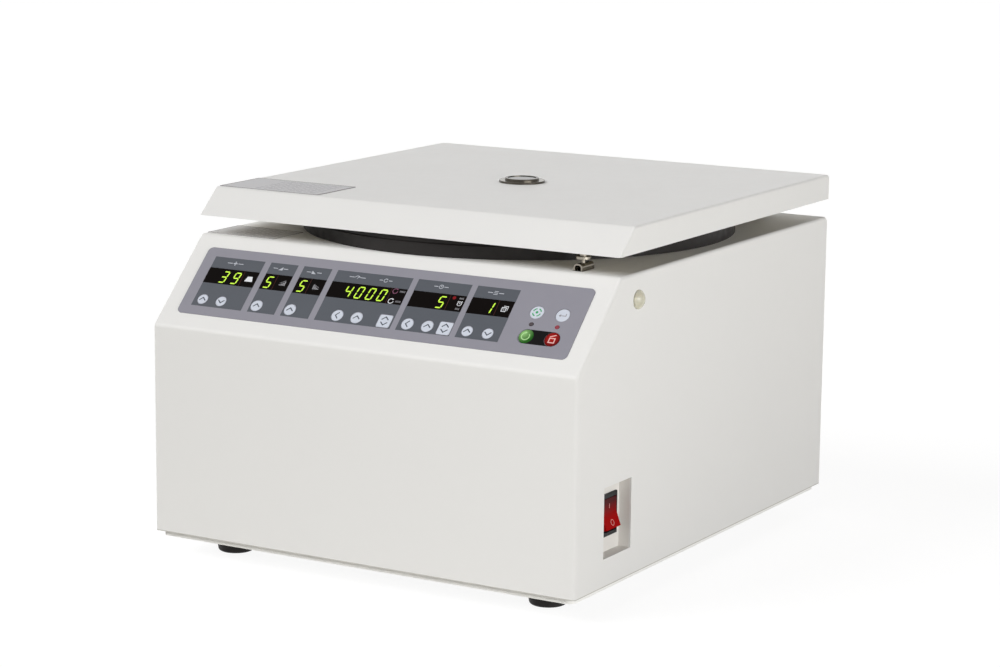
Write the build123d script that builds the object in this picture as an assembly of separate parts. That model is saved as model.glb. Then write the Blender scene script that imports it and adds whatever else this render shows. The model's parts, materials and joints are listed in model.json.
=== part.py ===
from build123d import *
import os
from math import asin, atan2, cos, degrees, hypot, radians, sin

# A benchtop centrifuge: a folded steel casing with a sloping key panel, a flat lid that is hinged
# at the rear, and a swing-out rotor with four buckets on a motor that stands on rubber mounts.
# Millimetres. The origin is on the bench under the middle of the casing, X points to the right of
# someone who faces the panel, Y to the rear and Z up. The lid is shut and its lock is open.

# How far a cutting shape runs past the faces that it leaves
past = 1.0

# Casing, a shell of bent and welded sheet steel. Heights are taken from its lower edge.
case_width = 366.0
case_depth = 415.2
front_height = 160.0
deck_height = 221.6
slope_run = 62.2
sheet = 1.5
bend_radius = 5.0
edge_radius = 2.5
return_flange = 18.0

# Base pan and feet
foot_height = 14.5
foot_top_diameter = 31.5
foot_bottom_diameter = 28.0
foot_collar_height = 3.0
foot_tread_radius = 2.5
foot_seat_height = 8.0
foot_side_inset = 45.0
foot_end_inset = 42.5
pan_drop = 4.0
pan_inset = 3.5
pan_corner_radius = 6.0
screw_diameter = 4.0
screw_head_diameter = 7.6
screw_head_height = 2.3
screw_length = 10.0
screw_clearance = 0.1
screw_head_edge = 0.8
screw_cross = (4.2, 1.0, 1.0)
dimple_diameter = 13.0
dimple_gap = 0.5
pan_screw_spacing = 130.0

# Vents: slots through the rear wall and the pan
vent_width = 4.0
vent_length = 44.0
vent_pitch = 9.0
rear_vent_count = 14
rear_vent_height = 120.0
rear_vent_from_left = 122.0
pan_vent_count = 9
pan_vent_spread = 183.0
pan_vent_from_rear = 104.0

# Chamber: bowl, guard ring and gasket round the rotor axis. The margins are what the deck keeps
# between the bowl and the casing's sides, its rear wall and the slope of the panel.
chamber_from_front = 233.0
chamber_side_margin = 33.0
chamber_rear_margin = 32.2
chamber_front_margin = 20.8
bowl_wall = 1.0
bowl_corner_radius = 18.0
bowl_rim_width = 12.0
bowl_clearance = 1.0
bowl_depth = 118.0
bowl_side_clearance = 10.0
bowl_floor_clearance = 8.0
bowl_neck_margin = 12.0
guard_clearance = 2.5
guard_wall = 4.0
gasket_width = 19.0
gasket_overhang = 6.5
gasket_fit = 0.2
gasket_gap = 0.3
gasket_edge = 2.0
gasket_bevel = (3.0, 5.0)
groove_count = 2
groove_depth = 0.6
groove_height = 1.2
groove_start = 9.4
groove_pitch = 3.6

# Swing-out rotor and its buckets
bucket_bore_diameter = 39.0
bucket_wall = 2.5
bucket_length = 68.0
bucket_rise = 10.0
bucket_bottom_radius = 7.0
collar_wall = 6.5
collar_skirt = 8.0
collar_edge = 1.2
grip_groove = (1.6, 0.8)
grip_groove_drop = 4.0
pocket_side_gap = 1.0
pocket_end_gap = 2.0
pocket_corner_radius = 5.0
arm_thickness = 18.0
rim_thickness = 13.0
arm_reach = 22.0
arm_tip_radius = 4.0
arm_edge = 1.0
hub_diameter = 46.0
hub_height = 26.0
hub_edge = 1.5
pin_diameter = 8.0
pin_length = 12.0
pin_gap = 0.4
saddle_margin = 0.2
running_clearance = 0.05
slip_clearance = 0.02
nut_flats = 22.0
nut_height = 12.0
nut_dome_radius = 23.3
nut_flange_width = 4.0
nut_flange_height = 2.5
nut_cap = 3.0

# Motor on its rubber mounts
shaft_diameter = 12.0
shaft_step_depth = 1.0
shaft_end_gap = 4.0
thread_diameter = 8.0
thread_gap = 1.0
thread_lead = 0.6
motor_diameter = 126.0
motor_top_gap = 7.0
motor_boss_diameter = 44.0
motor_boss_height = 6.0
motor_flange_width = 148.0
motor_flange_thickness = 5.0
motor_shoulder = 8.0
motor_rib_count = 20
motor_rib_depth = 4.0
motor_rib_thickness = 3.0
motor_rib_drop = 12.0
bearing_diameter = 28.0
bearing_width = 8.0
bearing_inset = 2.0
bearing_cap_gap = 1.0
bore_clearance = 1.5
mount_diameter = 24.0
mount_height = 14.0
mount_waist = 3.0
mount_plate = 3.0
boot_height = 14.0
boot_clearance = 0.6
boot_lip = 3.0
boot_lip_height = 4.0
boot_wall = 2.0
boot_spread = 7.0
boot_foot_width = 20.0

# Lid: a folded tray with its open side down, a liner plate and a sight glass
lid_gap = 14.3
lid_height = 19.8
lid_sheet = 1.2
lid_front_setback = 59.5
lid_front_slant = 22.0
lid_rear_overhang = 1.3
lid_top_radius = 4.0
lid_side_radius = 2.0
liner_rise = 3.0
liner_gap = 0.4
liner_corner_radius = 3.0
viewport_setback = 3.6
viewport_flange_diameter = 36.4
viewport_flange_height = 1.6
viewport_ring_diameter = 27.0
viewport_height = 3.4
viewport_tube_diameter = 24.0
viewport_bore_diameter = 19.0
viewport_edge = 0.4
viewport_fit = 0.2
glass_diameter = 22.6
glass_thickness = 2.5
glass_sink = 0.5
viewport_nut_diameter = 33.0
viewport_nut_height = 4.0
spanner_slot = (3.0, 2.0, 1.0)

# Lid hinges
hinge_spread = 224.0
hinge_length = 40.0
hinge_height = 7.9
hinge_from_rear = 7.2
knuckle_diameter = 11.0
hinge_pin_diameter = 6.0
knuckle_share = 0.42
knuckle_gap = 0.4
leaf_thickness = 2.0
leaf_length = 30.0
leaf_corner_radius = 4.0
arm_web = (3.0, 2.0)
hinge_pin_overhang = 0.5
hinge_pin_edge = 0.4

# Lid lock: a striker pin under the lid, a channel through the deck, a bolt and its solenoid
latch_side_inset = 39.8
latch_from_front = 78.0
channel_width = 7.0
channel_wall = 1.0
channel_length = 18.0
channel_lead = 8.0
channel_rise = 4.9
channel_below_bolt = 4.0
channel_flange = 7.0
channel_edge_radius = 2.7
channel_slot_margin = 1.3
channel_mouth = (9.0, 3.9)
striker_disc_diameter = 11.4
striker_disc_height = 7.5
striker_disc_thickness = 2.6
striker_pin_diameter = 3.0
striker_neck_diameter = 6.0
striker_groove_diameter = 2.0
striker_groove_gap = 0.3
striker_tip_length = 2.5
striker_tip_lead = (0.7, 1.0)
striker_edge = 0.4
striker_boss_width = 2.0
striker_boss_height = 1.5
bolt_thickness = 1.6
bolt_gap = 1.0
bolt_travel = 5.0
bolt_fit = 0.2
plunger_diameter = 6.0
plunger_length = 24.0
plunger_gap = 0.6
blade_overlap = 2.0
solenoid_size = 18.0
solenoid_length = 27.0
solenoid_gap = 1.0
solenoid_end_wall = 4.0
solenoid_edge = 1.0

# Foil plates on the lid and on the deck
foil_thickness = 0.3
foil_corner_radius = 1.0
lid_plate_size = (91.5, 53.0)
lid_plate_gap = 1.7
deck_plate_size = (62.0, 41.0)
deck_plate_gap = 3.8

# Sloping panel. Places on it are taken across from its middle and up from the front bend.
overlay_width = 336.2
overlay_height = 62.0
overlay_start = 13.2
overlay_thickness = 0.5
overlay_radius = 4.2
window_bottom = 42.5
window_height = 14.3
window_fit = 0.1
lamp_diameter = 3.4
lamp_row = 39.4
windows = {
    "rotor": (-158.5, 46.0),
    "acceleration": (-107.0, 24.5),
    "deceleration": (-77.0, 25.0),
    "speed": (-47.0, 66.0),
    "time": (24.0, 45.5),
    "program": (74.0, 35.5),
}

# Keys: name, place across, place up, shape and width
key_row = 27.3
upper_key_row = 49.9
lower_key_row = 28.8
recall_column = 130.0
save_column = 151.0
keys = [
    ("key_rotor_up", -150.6, key_row, "round", 8.7),
    ("key_rotor_down", -133.7, key_row, "round", 8.7),
    ("key_acceleration", -101.2, key_row, "round", 9.7),
    ("key_deceleration", -71.1, key_row, "round", 9.7),
    ("key_speed_digit", -29.1, key_row, "round", 9.7),
    ("key_speed_up", -12.2, key_row, "round", 9.7),
    ("key_speed_mode", 12.0, key_row, "square", 11.1),
    ("key_time_digit", 31.6, key_row, "round", 9.7),
    ("key_time_up", 48.5, key_row, "round", 9.7),
    ("key_time_mode", 63.2, key_row, "square", 11.1),
    ("key_program_up", 82.0, key_row, "round", 8.7),
    ("key_program_down", 99.0, key_row, "round", 8.7),
    ("key_recall", recall_column, upper_key_row, "round", 10.9),
    ("key_save", save_column, upper_key_row, "round", 10.9),
    ("key_start", recall_column, lower_key_row, "round", 11.8),
    ("key_stop", save_column, lower_key_row, "round", 11.8),
]
key_proud = 0.55
key_gap = 0.2
key_edge = 0.25
key_travel = 0.45
key_stop_gap = 0.1
key_skirt = 0.8
key_corner_radius = 1.5
stem_diameter = 3.5
board_depth = 8.0
board_thickness = 1.6
board_side_margin = 1.0
board_end_overhang = 3.0
board_corner_radius = 2.0
button_size = 6.0
button_height = 2.1
button_corner_radius = 0.5
display_fit = 0.2
display_gap = 0.2
standoff_diameter = 6.0
standoff_inset = 6.0

# Power switch in its pocket in the right side
recess_from_front = 41.7
recess_width = 41.0
recess_bottom = 20.7
recess_height = 52.3
recess_depth = 10.0
recess_wall = 1.2
recess_lip = 6.0
bezel_width = 25.5
bezel_height = 31.5
bezel_proud = 2.0
switch_from_front = 64.3
switch_height = 47.8
switch_body_width = 24.4
switch_body_height = 29.0
switch_body_depth = 24.0
switch_fit = 0.1
bezel_edge = 0.6
well_width = 22.1
well_depth = 12.0
rocker_width = 21.5
rocker_half_length = 11.2
rocker_tilt = 10.0
rocker_face = 6.6
rocker_rise = 0.3
rocker_flank = (3.0, 0.3)
rocker_back = (3.5, 4.0)
rocker_end_clearance = 0.4
rocker_trunnion_diameter = 3.0
rocker_trunnion_length = 0.8
rocker_trunnion_gap = 0.15

# Release plug in the right side
plug_from_front = 87.3
plug_height = 202.3
plug_diameter = 14.0
plug_rim = 1.2
plug_dome = 5.0
plug_hole_diameter = 10.0
plug_shank = 8.0
plug_lead = 1.0
plug_fit = 0.2

# Power inlet in the rear wall, with its fuse drawer
inlet_side_inset = 63.0
inlet_height = 42.0
inlet_face_width = 28.0
inlet_face_height = 48.0
inlet_proud = 3.0
inlet_wall = 1.5
inlet_fit = 0.1
inlet_edge = 0.8
inlet_body_depth = 26.0
socket_width = 24.4
socket_height = 16.8
socket_depth = 17.0
socket_rise = 10.0
socket_corner = 4.0
contact_width = 2.0
contact_height = 4.0
contact_length = 14.0
contact_tip = 0.5
contact_pitch = 7.0
contact_drop = 1.0
contact_stagger = 4.0
drawer_width = 22.0
drawer_height = 11.0
drawer_depth = 20.0
drawer_drop = 13.0
drawer_gap = 0.25
drawer_end_gap = 0.5
drawer_proud = 0.6
drawer_edge = 0.4
finger_notch = (8.0, 1.5, 2.0)

# Motor drive on the pan
drive_width = 112.0
drive_depth = 62.0
drive_from_left = 66.0
drive_from_front = 22.0
sink_base = 5.0
sink_fin_height = 22.0
sink_fin_count = 11
sink_fin_thickness = 2.0
drive_board_gap = 6.0
capacitor_count = 3
capacitor_diameter = 22.0
capacitor_height = 30.0
capacitor_edge = 1.5

# Heights and places that follow from the sizes above
pan_bottom = foot_height
pan_top = pan_bottom + sheet
case_bottom = pan_bottom + pan_drop
bend_z = case_bottom + front_height
deck = case_bottom + deck_height
deck_under = deck - sheet
front = -case_depth / 2
rear = case_depth / 2
side = case_width / 2
slope_rise = deck_height - front_height
slope_length = hypot(slope_run, slope_rise)
slope_angle = degrees(atan2(slope_rise, slope_run))
panel = Plane(
    origin=(0, front, bend_z),
    x_dir=(1, 0, 0),
    z_dir=(0, -sin(radians(slope_angle)), cos(radians(slope_angle))),
)

axis_y = front + chamber_from_front
bucket_radius = bucket_bore_diameter / 2 + bucket_wall
collar_radius = bucket_bore_diameter / 2 + collar_wall
bowl_radius = min(
    side - chamber_side_margin,
    rear - axis_y - chamber_rear_margin,
    axis_y - front - slope_run - chamber_front_margin,
)
pivot_radius = bowl_radius - bucket_length - bowl_side_clearance
floor = deck - bowl_depth
pivot_z = floor + hypot(bucket_length, bucket_radius) + bowl_floor_clearance
rim_radius = bowl_radius + bowl_wall + bowl_rim_width
opening_radius = bowl_radius + bowl_wall + bowl_clearance
guard_radius = bowl_radius + bowl_wall + guard_clearance
gasket_radius = rim_radius + gasket_overhang
liner_under = deck + lid_gap + liner_rise
gasket_height = liner_under - deck - gasket_gap
pin_inner = bucket_radius + pin_gap
pocket_half = collar_radius + pocket_side_gap
pocket_inner = pivot_radius - hypot(collar_radius, bucket_rise) - pocket_end_gap
arm_radius = pivot_radius + arm_reach

motor_bottom = pan_top + mount_height
motor_top = floor - bowl_wall - motor_top_gap
hub_bottom = pivot_z - hub_height / 2
hub_top = pivot_z + hub_height / 2

lid_bottom = deck + lid_gap
lid_top = lid_bottom + lid_height
lid_front = front + lid_front_setback
lid_rear = rear + lid_rear_overhang
viewport_y = axis_y + viewport_setback
hinge_y = rear - hinge_from_rear
hinge_z = deck + hinge_height

latch_x = side - latch_side_inset
latch_y = front + latch_from_front
bolt_z = deck_under - solenoid_size / 2
bolt_rest_y = latch_y + striker_pin_diameter / 2 + bolt_gap
channel_start = latch_y - channel_lead
channel_end = channel_start + channel_length
plunger_start = channel_end + bolt_travel + plunger_gap
solenoid_start = plunger_start + blade_overlap + solenoid_gap

recess_floor = side - recess_depth
switch_y = front + switch_from_front
switch_z = case_bottom + switch_height
pivot_x = recess_floor + bezel_proud + rocker_rise - rocker_face
inlet_x = side - inlet_side_inset
inlet_z = case_bottom + inlet_height
drawer_z = inlet_z - drawer_drop


def tube(outer_radius, inner_radius, bottom, top, x=0.0, y=0.0):
    """Upright ring between two heights."""
    ring = Circle(outer_radius) - Circle(inner_radius)
    return Pos(x, y, bottom) * extrude(ring, top - bottom)


def rod(radius, bottom, top, x=0.0, y=0.0):
    """Upright round bar between two heights."""
    return Pos(x, y, bottom) * extrude(Circle(radius), top - bottom)


def block(x_range, y_range, z_range):
    """Box between three pairs of limits."""
    size = [high - low for low, high in (x_range, y_range, z_range)]
    middle = [(high + low) / 2 for low, high in (x_range, y_range, z_range)]
    return Pos(*middle) * Box(*size)


def turned(points, y=0.0):
    """Solid of revolution about an upright axis, from radius and height pairs."""
    profile = make_face(Plane.XZ * Polyline(*points, close=True))
    return Pos(0, y, 0) * revolve(profile, Axis.Z)


def on_panel(u, v, n, shape):
    """Places a shape that is drawn flat on the sloping panel, n outwards from its face."""
    return panel.location * Pos(u, v, n) * shape


def key_outline(shape, width, margin=0.0):
    """Outline of a key cap, or of the hole round it when a margin is given."""
    if shape == "square":
        side_length = width + 2 * margin
        return RectangleRounded(side_length, side_length, key_corner_radius + margin)
    return Circle(width / 2 + margin)


def rounded_prism(profile, half_width, bend, rim):
    """Solid across the full width from a side profile, rounded on all edges but the lowest."""
    body = extrude(profile, half_width, both=True)
    bends = [e for group in body.edges().filter_by(Axis.X).group_by(Axis.Z)[1:] for e in group]
    body = fillet(bends, bend)
    flanks = body.faces().sort_by(Axis.X)
    rims = [e for flank in (flanks[0], flanks[-1]) for group in flank.edges().group_by(Axis.Z)[1:]
            for e in group]
    return fillet(rims, rim)


def folded_shell(outline, bend, rim, wall):
    """Open-bottomed shell of folded sheet. The outline takes how far it runs below the lower edge."""
    outer = rounded_prism(make_face(Plane.YZ * outline(0)), side, bend, rim)
    hollow = offset(make_face(Plane.YZ * outline(2 * wall)), -wall, kind=Kind.INTERSECTION)
    return outer - rounded_prism(hollow, side - wall, bend - wall, rim - wall)


def casing_outline(drop):
    """Side profile of the casing, run down below its lower edge by a drop."""
    return Polyline((front, case_bottom - drop), (front, bend_z), (front + slope_run, deck), (rear, deck),
                    (rear, case_bottom - drop), close=True)


def lid_outline(drop):
    """Side profile of the lid, run down below its lower edge by a drop."""
    lean = drop * lid_front_slant / lid_height
    return Polyline((lid_front - lean, lid_bottom - drop), (lid_front + lid_front_slant, lid_top),
                    (lid_rear, lid_top), (lid_rear, lid_bottom - drop), close=True)


def pan_screw_places():
    """Places of the screws that hold the pan to the casing's return flange."""
    inset = pan_inset + sheet + dimple_diameter / 2 + dimple_gap
    x = side - inset
    y = rear - inset
    places = [(sx * x, step * pan_screw_spacing) for sx in (-1, 1) for step in (-1, 0, 1)]
    return places + [(step * pan_screw_spacing / 2, sy * y) for sy in (-1, 1) for step in (-1, 1)]


def foot_places():
    """Places of the four feet."""
    x = side - foot_side_inset
    y = rear - foot_end_inset
    return [(sx * x, sy * y) for sx in (-1, 1) for sy in (-1, 1)]


def mount_places():
    """Places of the motor's four rubber mounts."""
    reach = motor_flange_width / 2 - mount_diameter / 2
    return [(sx * reach, axis_y + sy * reach) for sx in (-1, 1) for sy in (-1, 1)]


def standoff_places():
    """Places on the panel of the four spacers that carry the control board."""
    u = overlay_width / 2 - board_side_margin - standoff_inset
    middle = overlay_start + overlay_height / 2
    v = overlay_height / 2 + board_end_overhang - standoff_inset
    return [(su * u, middle + sv * v) for su in (-1, 1) for sv in (-1, 1)]


def slots(count, pitch, width, length, depth):
    """Row of rounded slots, drawn flat and cut to a depth."""
    return [Pos((i - (count - 1) / 2) * pitch, 0, 0)
            * extrude(Rot(0, 0, 90) * SlotOverall(length, width), depth, both=True)
            for i in range(count)]


def outer_casing():
    """Casing shell with the openings for everything that looks or passes through it."""
    shell = folded_shell(casing_outline, bend_radius, edge_radius, sheet)
    inner = Rectangle(case_width - 2 * sheet, case_depth - 2 * sheet)
    lip = inner - Rectangle(case_width - 2 * (sheet + return_flange),
                            case_depth - 2 * (sheet + return_flange))
    shell += Pos(0, 0, case_bottom) * extrude(lip, sheet)
    for x, y in pan_screw_places():
        shell -= rod(screw_diameter / 2 + screw_clearance, case_bottom, case_bottom + sheet, x, y)

    for u, v in standoff_places():
        stud = extrude(Circle(standoff_diameter / 2), board_depth - sheet / 2)
        shell += on_panel(u, v, -board_depth, stud)
    shell -= rod(opening_radius, deck_under - past, deck + past, 0, axis_y)
    middle = window_bottom + window_height / 2
    for start, width in windows.values():
        hole = Rectangle(width, window_height)
        shell -= on_panel(start + width / 2, middle, -2 * sheet, extrude(hole, 4 * sheet))
    for name, u, v, shape, width in keys:
        hole = key_outline(shape, width, key_gap)
        shell -= on_panel(u, v, -2 * sheet, extrude(hole, 4 * sheet))
    for u in (recall_column, save_column):
        shell -= on_panel(u, lamp_row, -2 * sheet, extrude(Circle(lamp_diameter / 2), 4 * sheet))

    shell -= block((recess_floor, side + past),
                   (front + recess_from_front, front + recess_from_front + recess_width),
                   (case_bottom + recess_bottom, case_bottom + recess_bottom + recess_height))
    plug_hole = Rot(0, 90, 0) * Cylinder(plug_hole_diameter / 2, 4 * sheet)
    shell -= Pos(side, front + plug_from_front, case_bottom + plug_height) * plug_hole
    slot_x = channel_width / 2 + channel_slot_margin
    shell -= block((latch_x - slot_x, latch_x + slot_x),
                   (channel_start - channel_slot_margin, channel_end + channel_slot_margin),
                   (deck_under - past, deck + past))
    inlet_half_width = inlet_face_width / 2 - inlet_wall
    inlet_half_height = inlet_face_height / 2 - inlet_wall
    shell -= block((inlet_x - inlet_half_width, inlet_x + inlet_half_width), (rear - 2 * sheet, rear + past),
                   (inlet_z - inlet_half_height, inlet_z + inlet_half_height))
    for slot in slots(rear_vent_count, vent_pitch, vent_width, vent_length, 2 * sheet):
        shell -= Pos(rear_vent_from_left - side, rear, case_bottom + rear_vent_height) * Rot(90, 0, 0) * slot
    return shell


def base_pan():
    """Shallow tray with dimples that reach up to the casing's return flange."""
    width = case_width - 2 * pan_inset
    depth = case_depth - 2 * pan_inset
    tray = extrude(RectangleRounded(width, depth, pan_corner_radius), pan_drop)
    hollow = RectangleRounded(width - 2 * sheet, depth - 2 * sheet, pan_corner_radius - sheet)
    tray -= Pos(0, 0, sheet) * extrude(hollow, pan_drop)
    tray = Pos(0, 0, pan_bottom) * tray
    for x, y in pan_screw_places():
        tray += rod(dimple_diameter / 2, pan_top - sheet / 2, case_bottom, x, y)
        tray -= rod(dimple_diameter / 2 - sheet, pan_bottom - past, case_bottom - sheet, x, y)
        tray -= rod(screw_diameter / 2 + screw_clearance, pan_bottom, case_bottom + past, x, y)
    for x, y in foot_places():
        tray -= rod(screw_diameter / 2 + screw_clearance, pan_bottom - past, pan_top + past, x, y)
    for row in (-1, 1):
        for slot in slots(pan_vent_count, vent_pitch, vent_width, vent_length, 2 * sheet):
            tray -= Pos(row * pan_vent_spread / 2, rear - pan_vent_from_rear, pan_bottom) * slot
    return tray


def rubber_foot(x, y):
    """Tapered foot with a rounded tread and a counterbore for its screw."""
    top = foot_top_diameter / 2
    bottom = foot_bottom_diameter / 2
    tread = foot_tread_radius
    hole = screw_diameter / 2 + screw_clearance
    recess = screw_head_diameter / 2 + 1
    seat = foot_seat_height
    sides = Polyline((bottom - tread, 0), (recess, 0), (recess, seat), (hole, seat), (hole, foot_height),
                     (top, foot_height), (top, foot_height - foot_collar_height), (bottom, tread))
    edge = RadiusArc((bottom, tread), (bottom - tread, 0), tread)
    return Pos(x, y, 0) * revolve(make_face(Plane.XZ * (sides + edge)), Axis.Z)


def base_screw(x, y, head_top):
    """Pan head screw that is driven up from below."""
    screw = rod(screw_head_diameter / 2, head_top - screw_head_height, head_top, x, y)
    screw = chamfer(screw.edges().sort_by(Axis.Z)[0], screw_head_edge)
    length, width, depth = screw_cross
    cross = Box(length, width, 2 * depth) + Box(width, length, 2 * depth)
    screw -= Pos(x, y, head_top - screw_head_height) * cross
    return screw + rod(screw_diameter / 2, head_top, head_top + screw_length, x, y)


def base_screws():
    """Screws of the pan, whose heads sit in the dimples, and of the feet."""
    screws = [base_screw(x, y, case_bottom - sheet) for x, y in pan_screw_places()]
    return screws + [base_screw(x, y, foot_seat_height) for x, y in foot_places()]


def chamber_bowl():
    """Deep-drawn bowl that hangs in the deck by its rim."""
    outer = rod(bowl_radius + bowl_wall, floor - bowl_wall, deck + bowl_wall, 0, axis_y)
    outer = fillet(outer.edges().sort_by(Axis.Z)[0], bowl_corner_radius + bowl_wall)
    inner = rod(bowl_radius, floor, deck + 2 * bowl_wall, 0, axis_y)
    inner = fillet(inner.edges().sort_by(Axis.Z)[0], bowl_corner_radius)
    rim = tube(rim_radius, bowl_radius + bowl_wall / 2, deck, deck + bowl_wall, 0, axis_y)
    neck = rod(shaft_diameter / 2 + bowl_neck_margin, floor - 2 * bowl_wall, floor + past, 0, axis_y)
    return outer - inner + rim - neck


def guard_ring():
    """Steel ring that would hold a broken rotor, welded under the deck."""
    return tube(guard_radius + guard_wall, guard_radius, floor - bowl_wall, deck_under, 0, axis_y)


def chamber_gasket():
    """Rubber ring that grips the bowl's rim and meets the lid liner, with two grooves round it."""
    inner = gasket_radius - gasket_width
    top = deck + gasket_height
    lip = deck + bowl_wall + gasket_fit
    notch = rim_radius + gasket_fit
    points = [(inner, lip), (notch, lip), (notch, deck), (gasket_radius, deck)]
    for i in range(groove_count):
        groove = deck + groove_start + i * groove_pitch
        points += [(gasket_radius, groove), (gasket_radius - groove_depth, groove + groove_height / 2),
                   (gasket_radius, groove + groove_height)]
    run, drop = gasket_bevel
    points += [(gasket_radius, top - gasket_edge), (gasket_radius - gasket_edge, top), (inner + run, top),
               (inner, top - drop)]
    return turned(points, axis_y)


def bucket(turn):
    """Swing-out bucket with a round bottom, a thick collar and two saddles that sit on its pins."""
    top = pivot_z + bucket_rise
    bottom = pivot_z - bucket_length
    shell = rod(bucket_radius, bottom, top)
    shell = fillet(shell.edges().sort_by(Axis.Z)[0], bucket_bottom_radius)
    shell += rod(collar_radius, pivot_z - collar_skirt, top)
    bore = rod(bucket_bore_diameter / 2, bottom + 2 * bucket_wall, top + past)
    shell -= fillet(bore.edges().sort_by(Axis.Z)[0], bucket_bottom_radius - bucket_wall)
    rim = shell.edges().filter_by(GeomType.CIRCLE).group_by(Axis.Z)[-1].sort_by(SortBy.RADIUS)[-1]
    shell = chamfer(rim, collar_edge)
    width, depth = grip_groove
    groove = top - grip_groove_drop
    shell -= tube(collar_radius + past, collar_radius - depth, groove - width, groove)
    saddle = pin_diameter / 2 + running_clearance
    reach = pin_inner - saddle_margin
    for way in (-1, 1):
        low, high = sorted((way * reach, way * (collar_radius + past)))
        shell -= block((-saddle, saddle), (low, high), (pivot_z - collar_skirt - past, pivot_z))
        cradle = Rot(90, 0, 0) * Cylinder(saddle, high - low)
        shell -= Pos(0, (low + high) / 2, pivot_z) * cradle
    return Pos(0, axis_y, 0) * Rot(0, 0, turn) * Pos(pivot_radius, 0, 0) * shell


def trunnion_pins():
    """Eight pins in the rotor's arms, two for each bucket."""
    pins = []
    for turn in range(0, 360, 90):
        for way in (-1, 1):
            pin = Rot(90, 0, 0) * Cylinder(pin_diameter / 2, pin_length)
            pin = Pos(pivot_radius, way * (pin_inner + pin_length / 2), pivot_z) * pin
            pins.append(Pos(0, axis_y, 0) * Rot(0, 0, turn) * pin)
    return pins


def rotor_head():
    """Turned cross with four milled pockets, so that each bucket hangs between two arms."""
    hub = hub_diameter / 2
    arm_low = pivot_z - arm_thickness / 2
    arm_high = pivot_z + arm_thickness / 2
    rim_low = pivot_z - rim_thickness / 2
    rim_high = pivot_z + rim_thickness / 2
    points = [(0, hub_bottom), (hub, hub_bottom), (hub, arm_low), (pocket_inner, arm_low),
              (arm_radius - arm_edge, rim_low), (arm_radius, rim_low + arm_edge),
              (arm_radius, rim_high - arm_edge), (arm_radius - arm_edge, rim_high),
              (pocket_inner, arm_high), (hub, arm_high), (hub, hub_top - hub_edge),
              (hub - hub_edge, hub_top), (0, hub_top)]
    head = turned(points)
    pocket_length = arm_radius - pocket_inner + past
    pocket = Box(pocket_length, 2 * pocket_half, arm_thickness + 2 * past)
    inside = [e for e in pocket.edges().filter_by(Axis.Z) if e.center().X < 0]
    pocket = fillet(inside, pocket_corner_radius)
    pin_hole = Rot(90, 0, 0) * Cylinder(pin_diameter / 2 + slip_clearance,
                                        2 * (pin_inner + pin_length + slip_clearance))
    for turn in range(0, 360, 90):
        cut = Pos(pocket_inner + pocket_length / 2, 0, pivot_z) * pocket
        head -= Rot(0, 0, turn) * (cut + Pos(pivot_radius, 0, pivot_z) * pin_hole)
    tips = [e for e in head.edges().filter_by(Axis.Z)
            if hypot(e.center().X, e.center().Y) > arm_radius - past]
    head = fillet(tips, arm_tip_radius)
    head -= rod(shaft_diameter / 2 + slip_clearance, hub_bottom - past, hub_top + past)
    return Pos(0, axis_y, 0) * head


def rotor_nut():
    """Domed hexagon nut on the threaded end of the shaft."""
    blank = extrude(RegularPolygon(nut_flats / 2, 6, major_radius=False), nut_height)
    dome = Pos(0, 0, nut_height - nut_dome_radius) * Sphere(nut_dome_radius)
    flange = extrude(Circle(nut_flats / 2 + nut_flange_width), nut_flange_height)
    nut = (blank & dome) + flange
    nut -= rod(thread_diameter / 2 + slip_clearance, -past, nut_height - nut_cap)
    return Pos(0, axis_y, hub_top) * nut


def motor_shaft():
    """Stepped shaft from the lower bearing to the rotor nut."""
    radius = shaft_diameter / 2
    thread = thread_diameter / 2
    end = motor_bottom + shaft_end_gap
    step = hub_top - shaft_step_depth
    tip = hub_top + nut_height - nut_cap - thread_gap
    points = [(0, end), (radius, end), (radius, step), (thread, step), (thread, tip - thread_lead),
              (thread - thread_lead, tip), (0, tip)]
    return turned(points, axis_y)


def motor_bearings():
    """Ball bearings, drawn as plain rings, at the top and bottom of the motor."""
    inner = shaft_diameter / 2 + running_clearance
    top = motor_top + motor_boss_height - bearing_cap_gap
    return [tube(bearing_diameter / 2, inner, low, low + bearing_width, 0, axis_y)
            for low in (motor_bottom + bearing_inset, top - bearing_width)]


def motor_housing():
    """Ribbed motor body on a square flange, bored for the shaft and its bearings."""
    radius = motor_diameter / 2 - motor_rib_depth
    flange_top = motor_bottom + motor_flange_thickness
    boss = motor_boss_diameter / 2
    top = motor_top + motor_boss_height
    body = turned([(0, motor_bottom), (radius, motor_bottom), (radius, motor_top - motor_shoulder),
                   (radius - motor_shoulder, motor_top), (boss, motor_top), (boss, top), (0, top)])
    rib = block((radius - past, motor_diameter / 2), (-motor_rib_thickness / 2, motor_rib_thickness / 2),
                (flange_top - past, motor_top - motor_rib_drop))
    for i in range(motor_rib_count):
        body += Rot(0, 0, i * 360 / motor_rib_count) * rib
    corner = mount_diameter / 2
    flange = extrude(RectangleRounded(motor_flange_width, motor_flange_width, corner),
                     motor_flange_thickness)
    body += Pos(0, 0, motor_bottom) * flange
    seat = bearing_diameter / 2 + slip_clearance
    body -= rod(shaft_diameter / 2 + bore_clearance, motor_bottom - past, top + past)
    body -= rod(seat, motor_bottom - past, motor_bottom + bearing_inset + bearing_width)
    body -= rod(seat, top - bearing_width - bearing_cap_gap, top + past)
    return Pos(0, axis_y, 0) * body


def motor_mounts():
    """Rubber mounts with a waist, between the pan and the motor's flange."""
    outer = mount_diameter / 2
    mount = turned([(0, pan_top), (outer, pan_top), (outer, pan_top + mount_plate),
                    (outer - mount_waist, pan_top + mount_height / 2), (outer, motor_bottom - mount_plate),
                    (outer, motor_bottom), (0, motor_bottom)])
    return [Pos(x, y, 0) * mount for x, y in mount_places()]


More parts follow.
